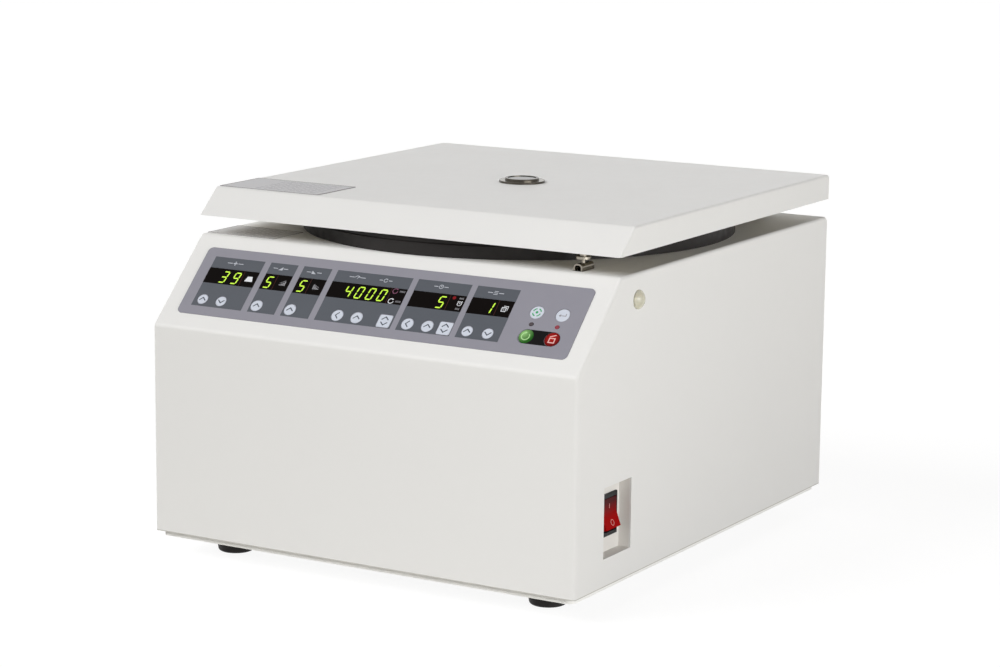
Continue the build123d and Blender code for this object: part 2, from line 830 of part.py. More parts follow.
def shaft_boot():
    """Rubber cone on the bowl's floor that keeps spills off the motor."""
    hole = shaft_diameter / 2 + boot_clearance
    foot = shaft_diameter / 2 + boot_foot_width
    top = floor + boot_height
    under = top - boot_lip_height
    return turned([(hole, top), (hole + boot_lip, top), (hole + boot_spread + boot_wall, floor + boot_wall),
                   (foot, floor + boot_wall), (foot, floor), (hole + boot_spread, floor),
                   (hole + boot_lip - boot_wall, under), (hole, under)], axis_y)


def lid_shell():
    """Folded lid tray, open at the bottom, with a slanted front."""
    shell = folded_shell(lid_outline, lid_top_radius, lid_side_radius, lid_sheet)
    return shell - rod(viewport_tube_diameter / 2 + viewport_fit, lid_bottom, lid_top + past, 0, viewport_y)


def lid_liner():
    """Flat plate that closes the lid from below and meets the gasket."""
    height = liner_under - lid_bottom
    slant = (height + lid_sheet) * lid_front_slant / lid_height
    wall = lid_sheet + liner_gap
    slant_wall = lid_sheet * hypot(lid_front_slant, lid_height) / lid_height + liner_gap
    plate = block((-side + wall, side - wall), (lid_front + slant + slant_wall, lid_rear - wall),
                  (liner_under, liner_under + lid_sheet))
    plate = fillet(plate.edges().filter_by(Axis.Z), liner_corner_radius)
    return plate - rod(viewport_tube_diameter / 2 + viewport_fit, lid_bottom, lid_top, 0, viewport_y)


def viewport_ring():
    """Plated sight-glass mount: a flange on the lid, a raised ring and a tube down through it."""
    tube_radius = viewport_tube_diameter / 2
    bore = viewport_bore_diameter / 2
    seat = glass_diameter / 2 + slip_clearance
    flange = viewport_flange_diameter / 2
    ring = viewport_ring_diameter / 2
    edge = viewport_edge
    top = lid_top + viewport_height
    step = lid_top + viewport_flange_height
    shelf = top - glass_sink - glass_thickness
    bottom = liner_under - viewport_nut_height
    return turned([(bore, bottom), (tube_radius, bottom), (tube_radius, lid_top), (flange, lid_top),
                   (flange, step - edge), (flange - edge, step), (ring, step), (ring, top - edge),
                   (ring - edge, top), (seat, top), (seat, shelf), (bore, shelf)], viewport_y)


def viewport_glass():
    """Flat sight glass in the ring."""
    top = lid_top + viewport_height - glass_sink
    return rod(glass_diameter / 2, top - glass_thickness, top, 0, viewport_y)


def viewport_nut():
    """Ring nut that clamps the sight glass mount from below the liner."""
    bottom = liner_under - viewport_nut_height
    bore = viewport_tube_diameter / 2 + slip_clearance
    nut = tube(viewport_nut_diameter / 2, bore, bottom, liner_under, 0, viewport_y)
    width, depth, rise = spanner_slot
    bar = Box(viewport_nut_diameter + 2 * past, width, 2 * rise)
    slot = bar - Box(viewport_nut_diameter - 2 * depth, width + past, 3 * rise)
    for turn in (0, 60, 120):
        nut -= Pos(0, viewport_y, bottom) * Rot(0, 0, turn) * slot
    return nut


def knuckle(x_low, x_high):
    """One barrel of a hinge round the hinge axis, without its bore."""
    barrel = Rot(0, 90, 0) * Cylinder(knuckle_diameter / 2, x_high - x_low)
    return Pos((x_low + x_high) / 2, hinge_y, hinge_z) * barrel


def hinge_bore(x, length):
    """Cut for the hinge pin."""
    cut = Rot(0, 90, 0) * Cylinder(hinge_pin_diameter / 2 + running_clearance, length)
    return Pos(x, hinge_y, hinge_z) * cut


def hinge_bases():
    """Lower hinge leaves on the deck, each with two outer barrels."""
    inner = hinge_length * knuckle_share / 2 + knuckle_gap
    outer = hinge_length / 2
    bases = []
    for x in (-hinge_spread / 2, hinge_spread / 2):
        leaf = block((x - outer, x + outer), (hinge_y - leaf_length, hinge_y), (deck, deck + leaf_thickness))
        leaf = fillet(leaf.edges().filter_by(Axis.Z).group_by(Axis.Y)[0], leaf_corner_radius)
        for low, high in ((x - outer, x - inner), (x + inner, x + outer)):
            leaf += knuckle(low, high)
            leaf += block((low, high), (hinge_y - knuckle_diameter / 2, hinge_y), (deck, hinge_z))
        bases.append(leaf - hinge_bore(x, 2 * hinge_length))
    return bases


def hinge_arms():
    """Upper hinge leaves under the lid liner, each with one middle barrel."""
    half = hinge_length * knuckle_share / 2
    outer = hinge_length / 2
    web_front, web_rear = arm_web
    arms = []
    for x in (-hinge_spread / 2, hinge_spread / 2):
        leaf = block((x - outer, x + outer), (hinge_y - leaf_length, hinge_y + web_rear),
                     (liner_under - leaf_thickness, liner_under))
        leaf = fillet(leaf.edges().filter_by(Axis.Z).group_by(Axis.Y)[0], leaf_corner_radius)
        leaf += knuckle(x - half, x + half)
        leaf += block((x - half, x + half), (hinge_y - web_front, hinge_y + web_rear),
                      (hinge_z, liner_under - leaf_thickness / 2))
        arms.append(leaf - hinge_bore(x, 2 * hinge_length))
    return arms


def hinge_pins():
    """Hinge pins with a small chamfer at each end."""
    pin = Rot(0, 90, 0) * Cylinder(hinge_pin_diameter / 2, hinge_length + 2 * hinge_pin_overhang)
    pin = chamfer(pin.edges().filter_by(GeomType.CIRCLE), hinge_pin_edge)
    return [Pos(x, hinge_y, hinge_z) * pin for x in (-hinge_spread / 2, hinge_spread / 2)]


def latch_striker():
    """Plated stud under the lid: a stop disc and a grooved pin that drops into the channel."""
    disc = striker_disc_diameter / 2
    pin = striker_pin_diameter / 2
    neck = striker_neck_diameter / 2
    groove = striker_groove_diameter / 2
    boss = disc + striker_boss_width
    boss_low = liner_under - striker_boss_height
    edge = striker_edge
    disc_low = deck + striker_disc_height
    disc_high = disc_low + striker_disc_thickness
    half = bolt_thickness / 2 + striker_groove_gap
    tip = bolt_z - half - striker_tip_length
    lead, rise = striker_tip_lead
    stud = turned([(0, tip), (pin - lead, tip), (pin, tip + rise), (pin, bolt_z - half),
                   (groove, bolt_z - half), (groove, bolt_z + half), (pin, bolt_z + half), (pin, disc_low),
                   (disc - edge, disc_low), (disc, disc_low + edge), (disc, disc_high - edge),
                   (disc - edge, disc_high), (neck, disc_high), (neck, boss_low), (boss, boss_low),
                   (boss, liner_under), (0, liner_under)])
    return Pos(latch_x, latch_y, 0) * stud


def latch_guide():
    """Bent channel that stands up through the deck, with its flanges under the sheet."""
    half = channel_width / 2
    inside = half - channel_wall
    bottom = bolt_z - channel_below_bolt
    top = deck + channel_rise
    along = (channel_start, channel_end)
    outer = block((-half, half), along, (bottom, top))
    outer = fillet(outer.edges().filter_by(Axis.Y).group_by(Axis.Z)[-1], channel_edge_radius)
    inner = block((-inside, inside), (channel_start - past, channel_end + past),
                  (bottom - past, top - channel_wall))
    inner = fillet(inner.edges().filter_by(Axis.Y).group_by(Axis.Z)[-1], channel_edge_radius - channel_wall)
    reach = half + channel_flange
    flange = block((-reach, reach), along, (deck_under - channel_wall, deck_under))
    length, width = channel_mouth
    mouth = extrude(Rot(0, 0, 90) * SlotOverall(length, width), channel_rise, both=True)
    return Pos(latch_x, 0, 0) * (outer + flange - inner - Pos(0, latch_y, top) * mouth)


def latch_bolt():
    """Forked blade on the solenoid's plunger, drawn back clear of the striker pin."""
    half = channel_width / 2 - channel_wall - bolt_fit
    notch = striker_groove_diameter / 2 + bolt_fit
    half_thick = bolt_thickness / 2
    blade = block((-half, half), (bolt_rest_y, plunger_start + blade_overlap), (-half_thick, half_thick))
    notch_end = bolt_rest_y + bolt_travel
    blade -= block((-notch, notch), (bolt_rest_y - past, notch_end), (-bolt_thickness, bolt_thickness))
    plunger = Rot(90, 0, 0) * Cylinder(plunger_diameter / 2, plunger_length)
    blade += Pos(0, plunger_start + plunger_length / 2, 0) * plunger
    return Pos(latch_x, 0, bolt_z) * blade


def latch_solenoid():
    """Solenoid frame under the deck, bored for the plunger."""
    half = solenoid_size / 2
    end = solenoid_start + solenoid_length
    body = block((latch_x - half, latch_x + half), (solenoid_start, end),
                 (deck_under - solenoid_size, deck_under))
    body = chamfer(body.edges().filter_by(Axis.Y), solenoid_edge)
    depth = solenoid_length - solenoid_end_wall
    bore = Rot(90, 0, 0) * Cylinder(plunger_diameter / 2 + running_clearance, depth)
    return body - Pos(latch_x, solenoid_start + depth / 2, bolt_z) * bore


def lid_foil_plate():
    """Bare foil plate at the lid's front left corner."""
    width, depth = lid_plate_size
    left = -side + lid_side_radius
    start = lid_front + lid_front_slant + lid_plate_gap
    plate = block((left, left + width), (start, start + depth), (lid_top, lid_top + foil_thickness))
    return fillet(plate.edges().filter_by(Axis.Z), foil_corner_radius)


def deck_foil_plate():
    """Bare foil plate on the deck's front left corner, running under the lid."""
    width, depth = deck_plate_size
    left = -side + edge_radius
    start = front + slope_run + deck_plate_gap
    plate = block((left, left + width), (start, start + depth), (deck, deck + foil_thickness))
    return fillet(plate.edges().filter_by(Axis.Z), foil_corner_radius)


def display_windows():
    """Smoked panes over the displays, and the two round lamp panes."""
    panes = []
    middle = window_bottom + window_height / 2
    for start, width in windows.values():
        pane = Rectangle(width - 2 * window_fit, window_height - 2 * window_fit)
        panes.append(on_panel(start + width / 2, middle, 0, extrude(pane, overlay_thickness)))
    for u in (recall_column, save_column):
        pane = extrude(Circle(lamp_diameter / 2 - window_fit), overlay_thickness)
        panes.append(on_panel(u, lamp_row, 0, pane))
    return panes


def keypad_overlay():
    """Printed front foil of the panel, holed for the keys and the panes."""
    middle = overlay_start + overlay_height / 2
    foil = Pos(0, middle) * RectangleRounded(overlay_width, overlay_height, overlay_radius)
    window_middle = window_bottom + window_height / 2
    for start, width in windows.values():
        foil -= Pos(start + width / 2, window_middle) * Rectangle(width, window_height)
    for name, u, v, shape, width in keys:
        foil -= Pos(u, v) * key_outline(shape, width, key_gap)
    for u in (recall_column, save_column):
        foil -= Pos(u, lamp_row) * Circle(lamp_diameter / 2)
    return on_panel(0, 0, 0, extrude(foil, overlay_thickness))


def key_cap(u, v, shape, width):
    """Key with a retaining skirt under the sheet and a stem down to its switch on the board."""
    skirt_top = -sheet - key_stop_gap
    cap = Pos(0, 0, skirt_top) * extrude(key_outline(shape, width), key_proud - skirt_top)
    cap = chamfer(cap.faces().sort_by(Axis.Z)[-1].edges(), key_edge)
    skirt = extrude(key_outline(shape, width, key_skirt), -key_skirt)
    cap += Pos(0, 0, skirt_top) * skirt
    tip = -board_depth + button_height + key_travel + key_stop_gap
    stem = extrude(Circle(stem_diameter / 2), skirt_top - tip)
    return on_panel(u, v, 0, cap + Pos(0, 0, tip) * stem)


def control_board():
    """Circuit board behind the panel, with its key switches and display blocks."""
    middle = overlay_start + overlay_height / 2
    outline = RectangleRounded(overlay_width - 2 * board_side_margin,
                               overlay_height + 2 * board_end_overhang, board_corner_radius)
    board = Pos(0, middle, -board_depth - board_thickness) * extrude(outline, board_thickness)
    button = extrude(RectangleRounded(button_size, button_size, button_corner_radius), button_height)
    for name, u, v, shape, width in keys:
        board += Pos(u, v, -board_depth) * button
    window_middle = window_bottom + window_height / 2
    for start, width in windows.values():
        face = Rectangle(width - 2 * display_fit, window_height - 2 * display_fit)
        display = extrude(face, board_depth - display_gap)
        board += Pos(start + width / 2, window_middle, -board_depth) * display
    return on_panel(0, 0, 0, board)


def switch_recess():
    """Folded pocket behind the opening in the right side, with the cut-out for the switch."""
    y = (front + recess_from_front, front + recess_from_front + recess_width)
    z = (case_bottom + recess_bottom, case_bottom + recess_bottom + recess_height)
    wall_inside = side - sheet
    pocket = block((recess_floor - recess_wall, wall_inside), (y[0] - recess_wall, y[1] + recess_wall),
                   (z[0] - recess_wall, z[1] + recess_wall))
    pocket += block((wall_inside - recess_wall, wall_inside), (y[0] - recess_lip, y[1] + recess_lip),
                    (z[0] - recess_lip, z[1] + recess_lip))
    pocket -= block((recess_floor, side + past), y, z)
    cut_out = Box(4 * recess_wall, switch_body_width, switch_body_height)
    return pocket - Pos(recess_floor, switch_y, switch_z) * cut_out


def rocker_corner():
    """Outer end of the rocker's upper half, from the pivot, with the rocker in its middle place."""
    tilt = radians(rocker_tilt)
    return rocker_face + rocker_half_length * sin(tilt), rocker_half_length * cos(tilt)


def switch_housing():
    """Black switch body with a bezel, hollowed for the rocker and bored for its trunnions."""
    body = Box(switch_body_depth, switch_body_width - 2 * switch_fit, switch_body_height - 2 * switch_fit)
    body = Pos(recess_floor - switch_body_depth / 2, switch_y, switch_z) * body
    face = recess_floor + bezel_proud
    bezel = block((recess_floor, face), (switch_y - bezel_width / 2, switch_y + bezel_width / 2),
                  (switch_z - bezel_height / 2, switch_z + bezel_height / 2))
    bezel = chamfer(bezel.faces().sort_by(Axis.X)[-1].edges(), bezel_edge)
    x, z = rocker_corner()
    well_half = hypot(x, z) * sin(atan2(z, x) + radians(rocker_tilt)) + rocker_end_clearance
    well = block((recess_floor - well_depth, face + past),
                 (switch_y - well_width / 2, switch_y + well_width / 2),
                 (switch_z - well_half, switch_z + well_half))
    trunnion_length = rocker_width + 2 * (rocker_trunnion_length + rocker_trunnion_gap)
    trunnion = Rot(90, 0, 0) * Cylinder(rocker_trunnion_diameter / 2 + running_clearance, trunnion_length)
    return body + bezel - well - Pos(pivot_x, switch_y, switch_z) * trunnion


def power_rocker():
    """Two-sided rocker with its upper half pressed in, on two short trunnions."""
    x, z = rocker_corner()
    flank_x, flare = rocker_flank
    back_x, back_half = rocker_back
    outline = Polyline((rocker_face, 0), (x, z), (flank_x, z + flare), (-back_x, back_half),
                       (-back_x, -back_half), (flank_x, -z - flare), (x, -z), close=True)
    rocker = extrude(make_face(Plane.XZ * outline), rocker_width / 2, both=True)
    trunnion_length = rocker_width + 2 * rocker_trunnion_length
    rocker += Rot(90, 0, 0) * Cylinder(rocker_trunnion_diameter / 2, trunnion_length)
    return Pos(pivot_x, switch_y, switch_z) * Rot(0, -rocker_tilt, 0) * rocker


def release_plug():
    """Domed plug in the side, with a shank that grips the hole."""
    radius = plug_diameter / 2
    shank = plug_hole_diameter / 2 - plug_fit
    cap = plug_dome - plug_rim
    ball = (radius ** 2 + cap ** 2) / (2 * cap)
    half_way = asin(radius / ball) / 2
    middle = (ball * sin(half_way), plug_dome - ball + ball * cos(half_way))
    sides = Polyline((radius, plug_rim), (radius, 0), (shank, 0), (shank, plug_lead - plug_shank),
                     (shank - plug_lead, -plug_shank), (0, -plug_shank), (0, plug_dome))
    dome = ThreePointArc((0, plug_dome), middle, (radius, plug_rim))
    plug = Rot(0, 90, 0) * revolve(make_face(Plane.XZ * (sides + dome)), Axis.Z)
    return Pos(side, front + plug_from_front, case_bottom + plug_height) * plug


def power_inlet():
    """Appliance inlet in the rear wall, with its socket above and the drawer's slot below."""
    half_width = inlet_face_width / 2
    half_height = inlet_face_height / 2
    face = block((-half_width, half_width), (0, inlet_proud), (-half_height, half_height))
    face = chamfer(face.faces().sort_by(Axis.Y)[-1].edges(), inlet_edge)
    margin = inlet_wall + inlet_fit
    body = block((margin - half_width, half_width - margin), (-inlet_body_depth, inlet_proud / 2),
                 (margin - half_height, half_height - margin))
    socket = block((-socket_width / 2, socket_width / 2), (inlet_proud - socket_depth, inlet_proud + past),
                   (-socket_height / 2, socket_height / 2))
    socket = chamfer(socket.edges().filter_by(Axis.Y).group_by(Axis.Z)[-1], socket_corner)
    slot_half = drawer_width / 2 + drawer_gap
    slot_height = drawer_height / 2 + drawer_gap
    slot = block((-slot_half, slot_half), (inlet_proud - drawer_depth - drawer_end_gap, inlet_proud + past),
                 (-slot_height, slot_height))
    shell = face + body - Pos(0, 0, socket_rise) * socket - Pos(0, 0, -drawer_drop) * slot
    return Pos(inlet_x, rear, inlet_z) * shell


def inlet_contacts():
    """Three contact blades in the socket, the middle one set higher."""
    base = inlet_proud - socket_depth
    blades = []
    for step in (-1, 0, 1):
        x = step * contact_pitch
        z = socket_rise - contact_drop + (contact_stagger if step == 0 else 0)
        blade = block((x - contact_width / 2, x + contact_width / 2), (base, base + contact_length),
                      (z - contact_height / 2, z + contact_height / 2))
        blade = chamfer(blade.faces().sort_by(Axis.Y)[-1].edges(), contact_tip)
        blades.append(Pos(inlet_x, rear, inlet_z) * blade)
    return blades


def fuse_drawer():
    """Drawer for the fuses, with a finger notch in its face."""
    face = inlet_proud + drawer_proud
    drawer = block((-drawer_width / 2, drawer_width / 2), (inlet_proud - drawer_depth, face),
                   (-drawer_height / 2, drawer_height / 2))
    drawer = chamfer(drawer.faces().sort_by(Axis.Y)[-1].edges(), drawer_edge)
    width, depth, height = finger_notch
    drawer -= Pos(0, face, drawer_height / 2) * Box(width, 2 * depth, 2 * height)
    return Pos(inlet_x, rear, drawer_z) * drawer


def drive_unit():
    """Motor drive: a finned heat sink on the pan with its circuit board and capacitors."""
    left = -side + drive_from_left
    start = front + drive_from_front
    sink = block((left, left + drive_width), (start, start + drive_depth), (pan_top, pan_top + sink_base))
    pitch = (drive_width - sink_fin_thickness) / (sink_fin_count - 1)
    fin_top = pan_top + sink_base + sink_fin_height
    for i in range(sink_fin_count):
        x = left + i * pitch
        sink += block((x, x + sink_fin_thickness), (start, start + drive_depth), (pan_top, fin_top))
    board_top = fin_top + drive_board_gap + board_thickness
    spacer = standoff_diameter / 2
    pieces = block((left, left + drive_width), (start, start + drive_depth),
                   (board_top - board_thickness, board_top))
    for x in (left + spacer, left + drive_width - spacer):
        for y in (start + spacer, start + drive_depth - spacer):
            pieces += rod(spacer, fin_top, board_top, x, y)
    can_top = board_top + capacitor_height
    for i in range(capacitor_count):
        x = left + drive_width * (i + 1) / (capacitor_count + 1)
        can = rod(capacitor_diameter / 2, board_top, can_top, x, start + drive_depth / 2)
        pieces += chamfer(can.edges().sort_by(Axis.Z)[-1], capacitor_edge)
    return sink + pieces


def save(name, shape):
    """Writes one piece, or one group of alike pieces, to its own file."""
    solids = shape if isinstance(shape, list) else [shape]
    whole = Compound(children=[s for item in solids for s in item.solids()], label=name)
    export_step(whole, f"parts/{name}.step")


pieces = {
    "outer_casing": outer_casing(),
    "base_pan": base_pan(),
    "rubber_feet": [rubber_foot(x, y) for x, y in foot_places()],
    "base_screws": base_screws(),
    "chamber_bowl": chamber_bowl(),
    "guard_ring": guard_ring(),
    "chamber_gasket": chamber_gasket(),
    "rotor_head": rotor_head(),
    "trunnion_pins": trunnion_pins(),
    "rotor_nut": rotor_nut(),
    "motor_shaft": motor_shaft(),
    "motor_bearings": motor_bearings(),
    "motor_housing": motor_housing(),
    "motor_mounts": motor_mounts(),
    "shaft_boot": shaft_boot(),
    "lid_shell": lid_shell(),
    "lid_liner": lid_liner(),
    "lid_foil_plate": lid_foil_plate(),
    "deck_foil_plate": deck_foil_plate(),
    "viewport_ring": viewport_ring(),
    "viewport_glass": viewport_glass(),
    "viewport_nut": viewport_nut(),
    "hinge_bases": hinge_bases(),
    "hinge_arms": hinge_arms(),
    "hinge_pins": hinge_pins(),
    "latch_striker": latch_striker(),
    "latch_guide": latch_guide(),
    "latch_bolt": latch_bolt(),
    "latch_solenoid": latch_solenoid(),
    "keypad_overlay": keypad_overlay(),
    "display_windows": display_windows(),
    "control_board": control_board(),
    "switch_recess": switch_recess(),
    "switch_housing": switch_housing(),
    "power_rocker": power_rocker(),
    "release_plug": release_plug(),
    "power_inlet": power_inlet(),
    "inlet_contacts": inlet_contacts(),
    "fuse_drawer": fuse_drawer(),
    "drive_unit": drive_unit(),
}
for number, turn in enumerate((0, 90, 180, 270), start=1):
    pieces[f"bucket_{number}"] = bucket(turn)
for key_name, u, v, shape, width in keys:
    pieces[key_name] = key_cap(u, v, shape, width)

os.makedirs("parts", exist_ok=True)
for name, shape in pieces.items():
    save(name, shape)
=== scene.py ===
# %% [markdown]
# # A benchtop centrifuge
# The lesson dresses a finished CAD model of a low-speed laboratory centrifuge: a folded and painted
# steel box with a sloping key panel, a flat steel lid on a thick rubber ring, and a steel bowl with
# a swing-out rotor inside. The solids come from the CAD frame and stay as they are. Blender adds
# finishes, prints, lamps and small hardware, and the light and camera of the photograph.

# %% Load the frame
import json
import math
import bmesh
import bpy
from mathutils import Matrix, Vector


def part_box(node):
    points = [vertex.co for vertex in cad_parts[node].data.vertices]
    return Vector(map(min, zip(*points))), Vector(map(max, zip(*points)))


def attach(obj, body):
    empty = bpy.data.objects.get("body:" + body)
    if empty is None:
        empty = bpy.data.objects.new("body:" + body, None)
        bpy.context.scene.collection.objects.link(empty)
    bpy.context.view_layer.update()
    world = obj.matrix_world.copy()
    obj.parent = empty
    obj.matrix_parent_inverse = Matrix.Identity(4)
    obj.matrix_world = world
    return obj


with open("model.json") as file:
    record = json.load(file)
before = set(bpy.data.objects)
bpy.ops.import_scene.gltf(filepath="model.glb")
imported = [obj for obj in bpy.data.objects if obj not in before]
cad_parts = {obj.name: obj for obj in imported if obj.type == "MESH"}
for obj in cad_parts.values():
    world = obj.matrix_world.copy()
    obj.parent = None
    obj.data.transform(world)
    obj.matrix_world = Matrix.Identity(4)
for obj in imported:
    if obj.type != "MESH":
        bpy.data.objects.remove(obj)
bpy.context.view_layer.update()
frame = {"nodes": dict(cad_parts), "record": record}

nodes = frame["nodes"]
scene = bpy.context.scene
MM = 0.001

# %% [markdown]
# ## Camera
# The photograph looks down a little from the front right corner through a long lens, so upright
# edges stay almost parallel. Its place and its three turns were found by fitting the casing's
# corners; a turn about the upright, then a dip, then a slight roll is the order a tripod head has.

# %% Camera
EYE = Vector((1.1271, -1.9203, 0.5837))
HEADING, DIP, ROLL = (math.radians(a) for a in (30.446, 10.838, 0.578))
LENS = 104.02

camera = bpy.data.objects.new("camera", bpy.data.cameras.new("camera"))
camera.data.sensor_width = 36.0
camera.data.lens = LENS
head = Matrix.Rotation(HEADING, 4, "Z") @ Matrix.Rotation(math.pi / 2 - DIP, 4, "X")
camera.matrix_world = Matrix.Translation(EYE) @ head @ Matrix.Rotation(ROLL, 4, "Z")
scene.collection.objects.link(camera)
scene.camera = camera
scene.view_settings.view_transform = "Standard"
print("camera stands", round(EYE.length, 2), "m from the middle of the base")

# %% [markdown]
# ## Colours and nodes
# Colours are written as hex values, as a paint chart or a colour picker gives them. Shaders work in
# linear light, so one function turns a hex value into it. A second function adds one node, sets it
# and links it, and it serves materials, the world and Geometry Nodes alike. A node given as an
# input stands for its first output.

# %% Helpers for colour and nodes
def linear(code):
    """Linear colour of a hex value such as #e6e6e5, with full alpha."""
    parts = [int(code[i:i + 2], 16) / 255 for i in (1, 3, 5)]
    return (*(c / 12.92 if c <= 0.04045 else ((c + 0.055) / 1.055) ** 2.4 for c in parts), 1.0)


def add(tree, kind, inputs=None, **settings):
    """Adds one node. An input given as a socket or a node is linked, any other value is set."""
    made = tree.nodes.new(kind)
    for key, value in settings.items():
        setattr(made, key, value)
    for key, value in (inputs or {}).items():
        if isinstance(value, bpy.types.Node):
            value = value.outputs[0]
        if isinstance(value, bpy.types.NodeSocket):
            tree.links.new(value, made.inputs[key])
        else:
            made.inputs[key].default_value = value
    return made


print("linear white of the paint", [round(c, 3) for c in linear("#e6e6e5")[:3]])

# %% [markdown]
# ## Light
# Three soft lamps stand for the studio's softboxes. A wide sun at the front left lights the front
# and the slope, and glints along the bend between them as in the photograph. A low softbox at the
# right lights the side, so that no single lamp faces the upright edge between both and bleaches it.
# It stands near enough for the near corner to be brighter than the far one. A low sun behind keeps
# the back from going dark. The lid's top would mirror it straight into the camera, so it is left
# out of reflections.

# %% Lamps
SUNS = {
    # Direction towards the lamp, strength, width in degrees, and whether reflections show it.
    "front_lamp": ((-0.35, -0.40, 0.41), 2.39, 36, True),
    "back_lamp": ((-0.62, 0.78, 0.08), 1.9, 50, False),
}
SOFTBOX_TOWARDS = Vector((0.60, -0.22, 0.08)).normalized()
SOFTBOX_AWAY = 2.6
SOFTBOX_WIDE, SOFTBOX_TALL = 2.6, 1.0
SOFTBOX_WATTS = 43.5
HALF_HEIGHT = Vector((0, 0, 0.13))
for name, (towards, strength, softness, mirrored) in SUNS.items():
    light = bpy.data.lights.new(name, "SUN")
    light.energy = strength
    light.angle = math.radians(softness)
    holder = bpy.data.objects.new(name, light)
    holder.rotation_euler = Vector(towards).to_track_quat("Z", "Y").to_euler()
    holder.visible_glossy = mirrored
    scene.collection.objects.link(holder)
softbox = bpy.data.lights.new("side_softbox", "AREA")
softbox.shape = "ELLIPSE"
softbox.size = SOFTBOX_WIDE
softbox.size_y = SOFTBOX_TALL
softbox.energy = SOFTBOX_WATTS
holder = bpy.data.objects.new("side_softbox", softbox)
holder.location = SOFTBOX_TOWARDS * SOFTBOX_AWAY + HALF_HEIGHT
holder.rotation_euler = SOFTBOX_TOWARDS.to_track_quat("Z", "Y").to_euler()
holder.visible_camera = False
scene.collection.objects.link(holder)
print("lamps", len(bpy.data.lights))

# %% [markdown]
# ## Room and floor
# The photograph's ground is pure white. The room is white for the camera, for reflections and
# through glass. As a light it is dimmer, so that it doesn't wash the paint out, and a little warm:
# in the photograph only the shaded places, such as the gap under the lid, are beige. The floor is a
# wide sheet of paper. It keeps the soft shadow, and where it is looked at it is lifted to white.

# %% Room and floor
ROOM_ABOVE, ROOM_AROUND = 0.085, 0.34
AROUND_UP_TO, ABOVE_FROM = 0.08, 0.42
ROOM_WARMTH = "#fff6e9"
PAPER_AS_LIGHT, PAPER_AS_SEEN = "#c0beb8", "#6c6c6c"
FLOOR_LIFT = 0.91
FLOOR_RADIUS = 20.0


def seen_directly(tree):
    """1 for camera, glossy and transmitted rays, and 0 for rays that carry light."""
    rays = add(tree, "ShaderNodeLightPath").outputs
    either = add(tree, "ShaderNodeMath", {0: rays["Is Camera Ray"], 1: rays["Is Glossy Ray"]},
                 operation="MAXIMUM")
    return add(tree, "ShaderNodeMath", {0: either, 1: rays["Is Transmission Ray"]},
               operation="MAXIMUM")


room = bpy.data.worlds.new("white_room")
room.use_nodes = True
tree = room.node_tree
tree.nodes.clear()
direction = add(tree, "ShaderNodeTexCoord").outputs["Object"]
climb = add(tree, "ShaderNodeSeparateXYZ", {0: direction}).outputs["Z"]
level = add(tree, "ShaderNodeMapRange", {
    "Value": climb, "From Min": AROUND_UP_TO, "From Max": ABOVE_FROM, "To Min": ROOM_AROUND,
    "To Max": ROOM_ABOVE})
dim = add(tree, "ShaderNodeBackground", {"Color": linear(ROOM_WARMTH), "Strength": level})
white = add(tree, "ShaderNodeBackground", {"Color": linear("#ffffff"), "Strength": 1.0})
room_mix = add(tree, "ShaderNodeMixShader", {0: seen_directly(tree), 1: dim, 2: white})
add(tree, "ShaderNodeOutputWorld", {"Surface": room_mix})
scene.world = room

paper = bpy.data.materials.new("white_paper_floor")
paper.use_nodes = True
tree = paper.node_tree
tree.nodes.clear()
tone = add(tree, "ShaderNodeMix", {"Factor": seen_directly(tree), 6: linear(PAPER_AS_LIGHT),
                                   7: linear(PAPER_AS_SEEN)}, data_type="RGBA")
matt = add(tree, "ShaderNodeBsdfDiffuse", {"Color": tone.outputs[2]})
lift = add(tree, "ShaderNodeMath", {0: seen_directly(tree), 1: FLOOR_LIFT}, operation="MULTIPLY")
glow = add(tree, "ShaderNodeEmission", {"Color": linear("#ffffff"), "Strength": lift})
both = add(tree, "ShaderNodeAddShader", {0: matt, 1: glow})
add(tree, "ShaderNodeOutputMaterial", {"Surface": both})

sheet = bmesh.new()
bmesh.ops.create_circle(sheet, cap_ends=True, segments=96, radius=FLOOR_RADIUS)
floor_mesh = bpy.data.meshes.new("floor")
sheet.to_mesh(floor_mesh)
sheet.free()
floor_mesh.materials.append(paper)
floor = bpy.data.objects.new("floor", floor_mesh)
scene.collection.objects.link(floor)
print("the floor is a disc of", FLOOR_RADIUS, "m")

# %% [markdown]
# ## Finishes
# Each finish starts from what the real surface is and how it was made. One function makes a named
# material with a Principled shader and sets its plain values. Patterns read Object coordinates,
# which are metres here, so a pattern's scale is one over its real size. Brush lines, a lathe's
# rings and the velvet of a film are finer than the render can show, so they are drawn as coarse as
# they need to show, at half a millimetre to a millimetre.

# %% A named finish and its patterns
def finish(name, colour, roughness, **sockets):
    """A material with one Principled shader. Words in a socket's name are joined by _."""
    made = bpy.data.materials.new(name)
    made.use_nodes = True
    shader = made.node_tree.nodes["Principled BSDF"]
    shader.inputs["Base Color"].default_value = linear(colour)
    shader.inputs["Roughness"].default_value = roughness
    for key, value in sockets.items():
        shader.inputs[key.replace("_", " ")].default_value = value
    return made


def grain(made, size, detail=2.0, stretch=(1, 1, 1)):
    """Soft noise whose lumps are size metres wide, stretched along the axes."""
    tree = made.node_tree
    where = add(tree, "ShaderNodeTexCoord").outputs["Object"]
    scaled = add(tree, "ShaderNodeMapping", {"Vector": where, "Scale": [1 / s for s in stretch]})
    return add(tree, "ShaderNodeTexNoise", {"Vector": scaled, "Scale": 1 / size,
                                            "Detail": detail}).outputs["Fac"]


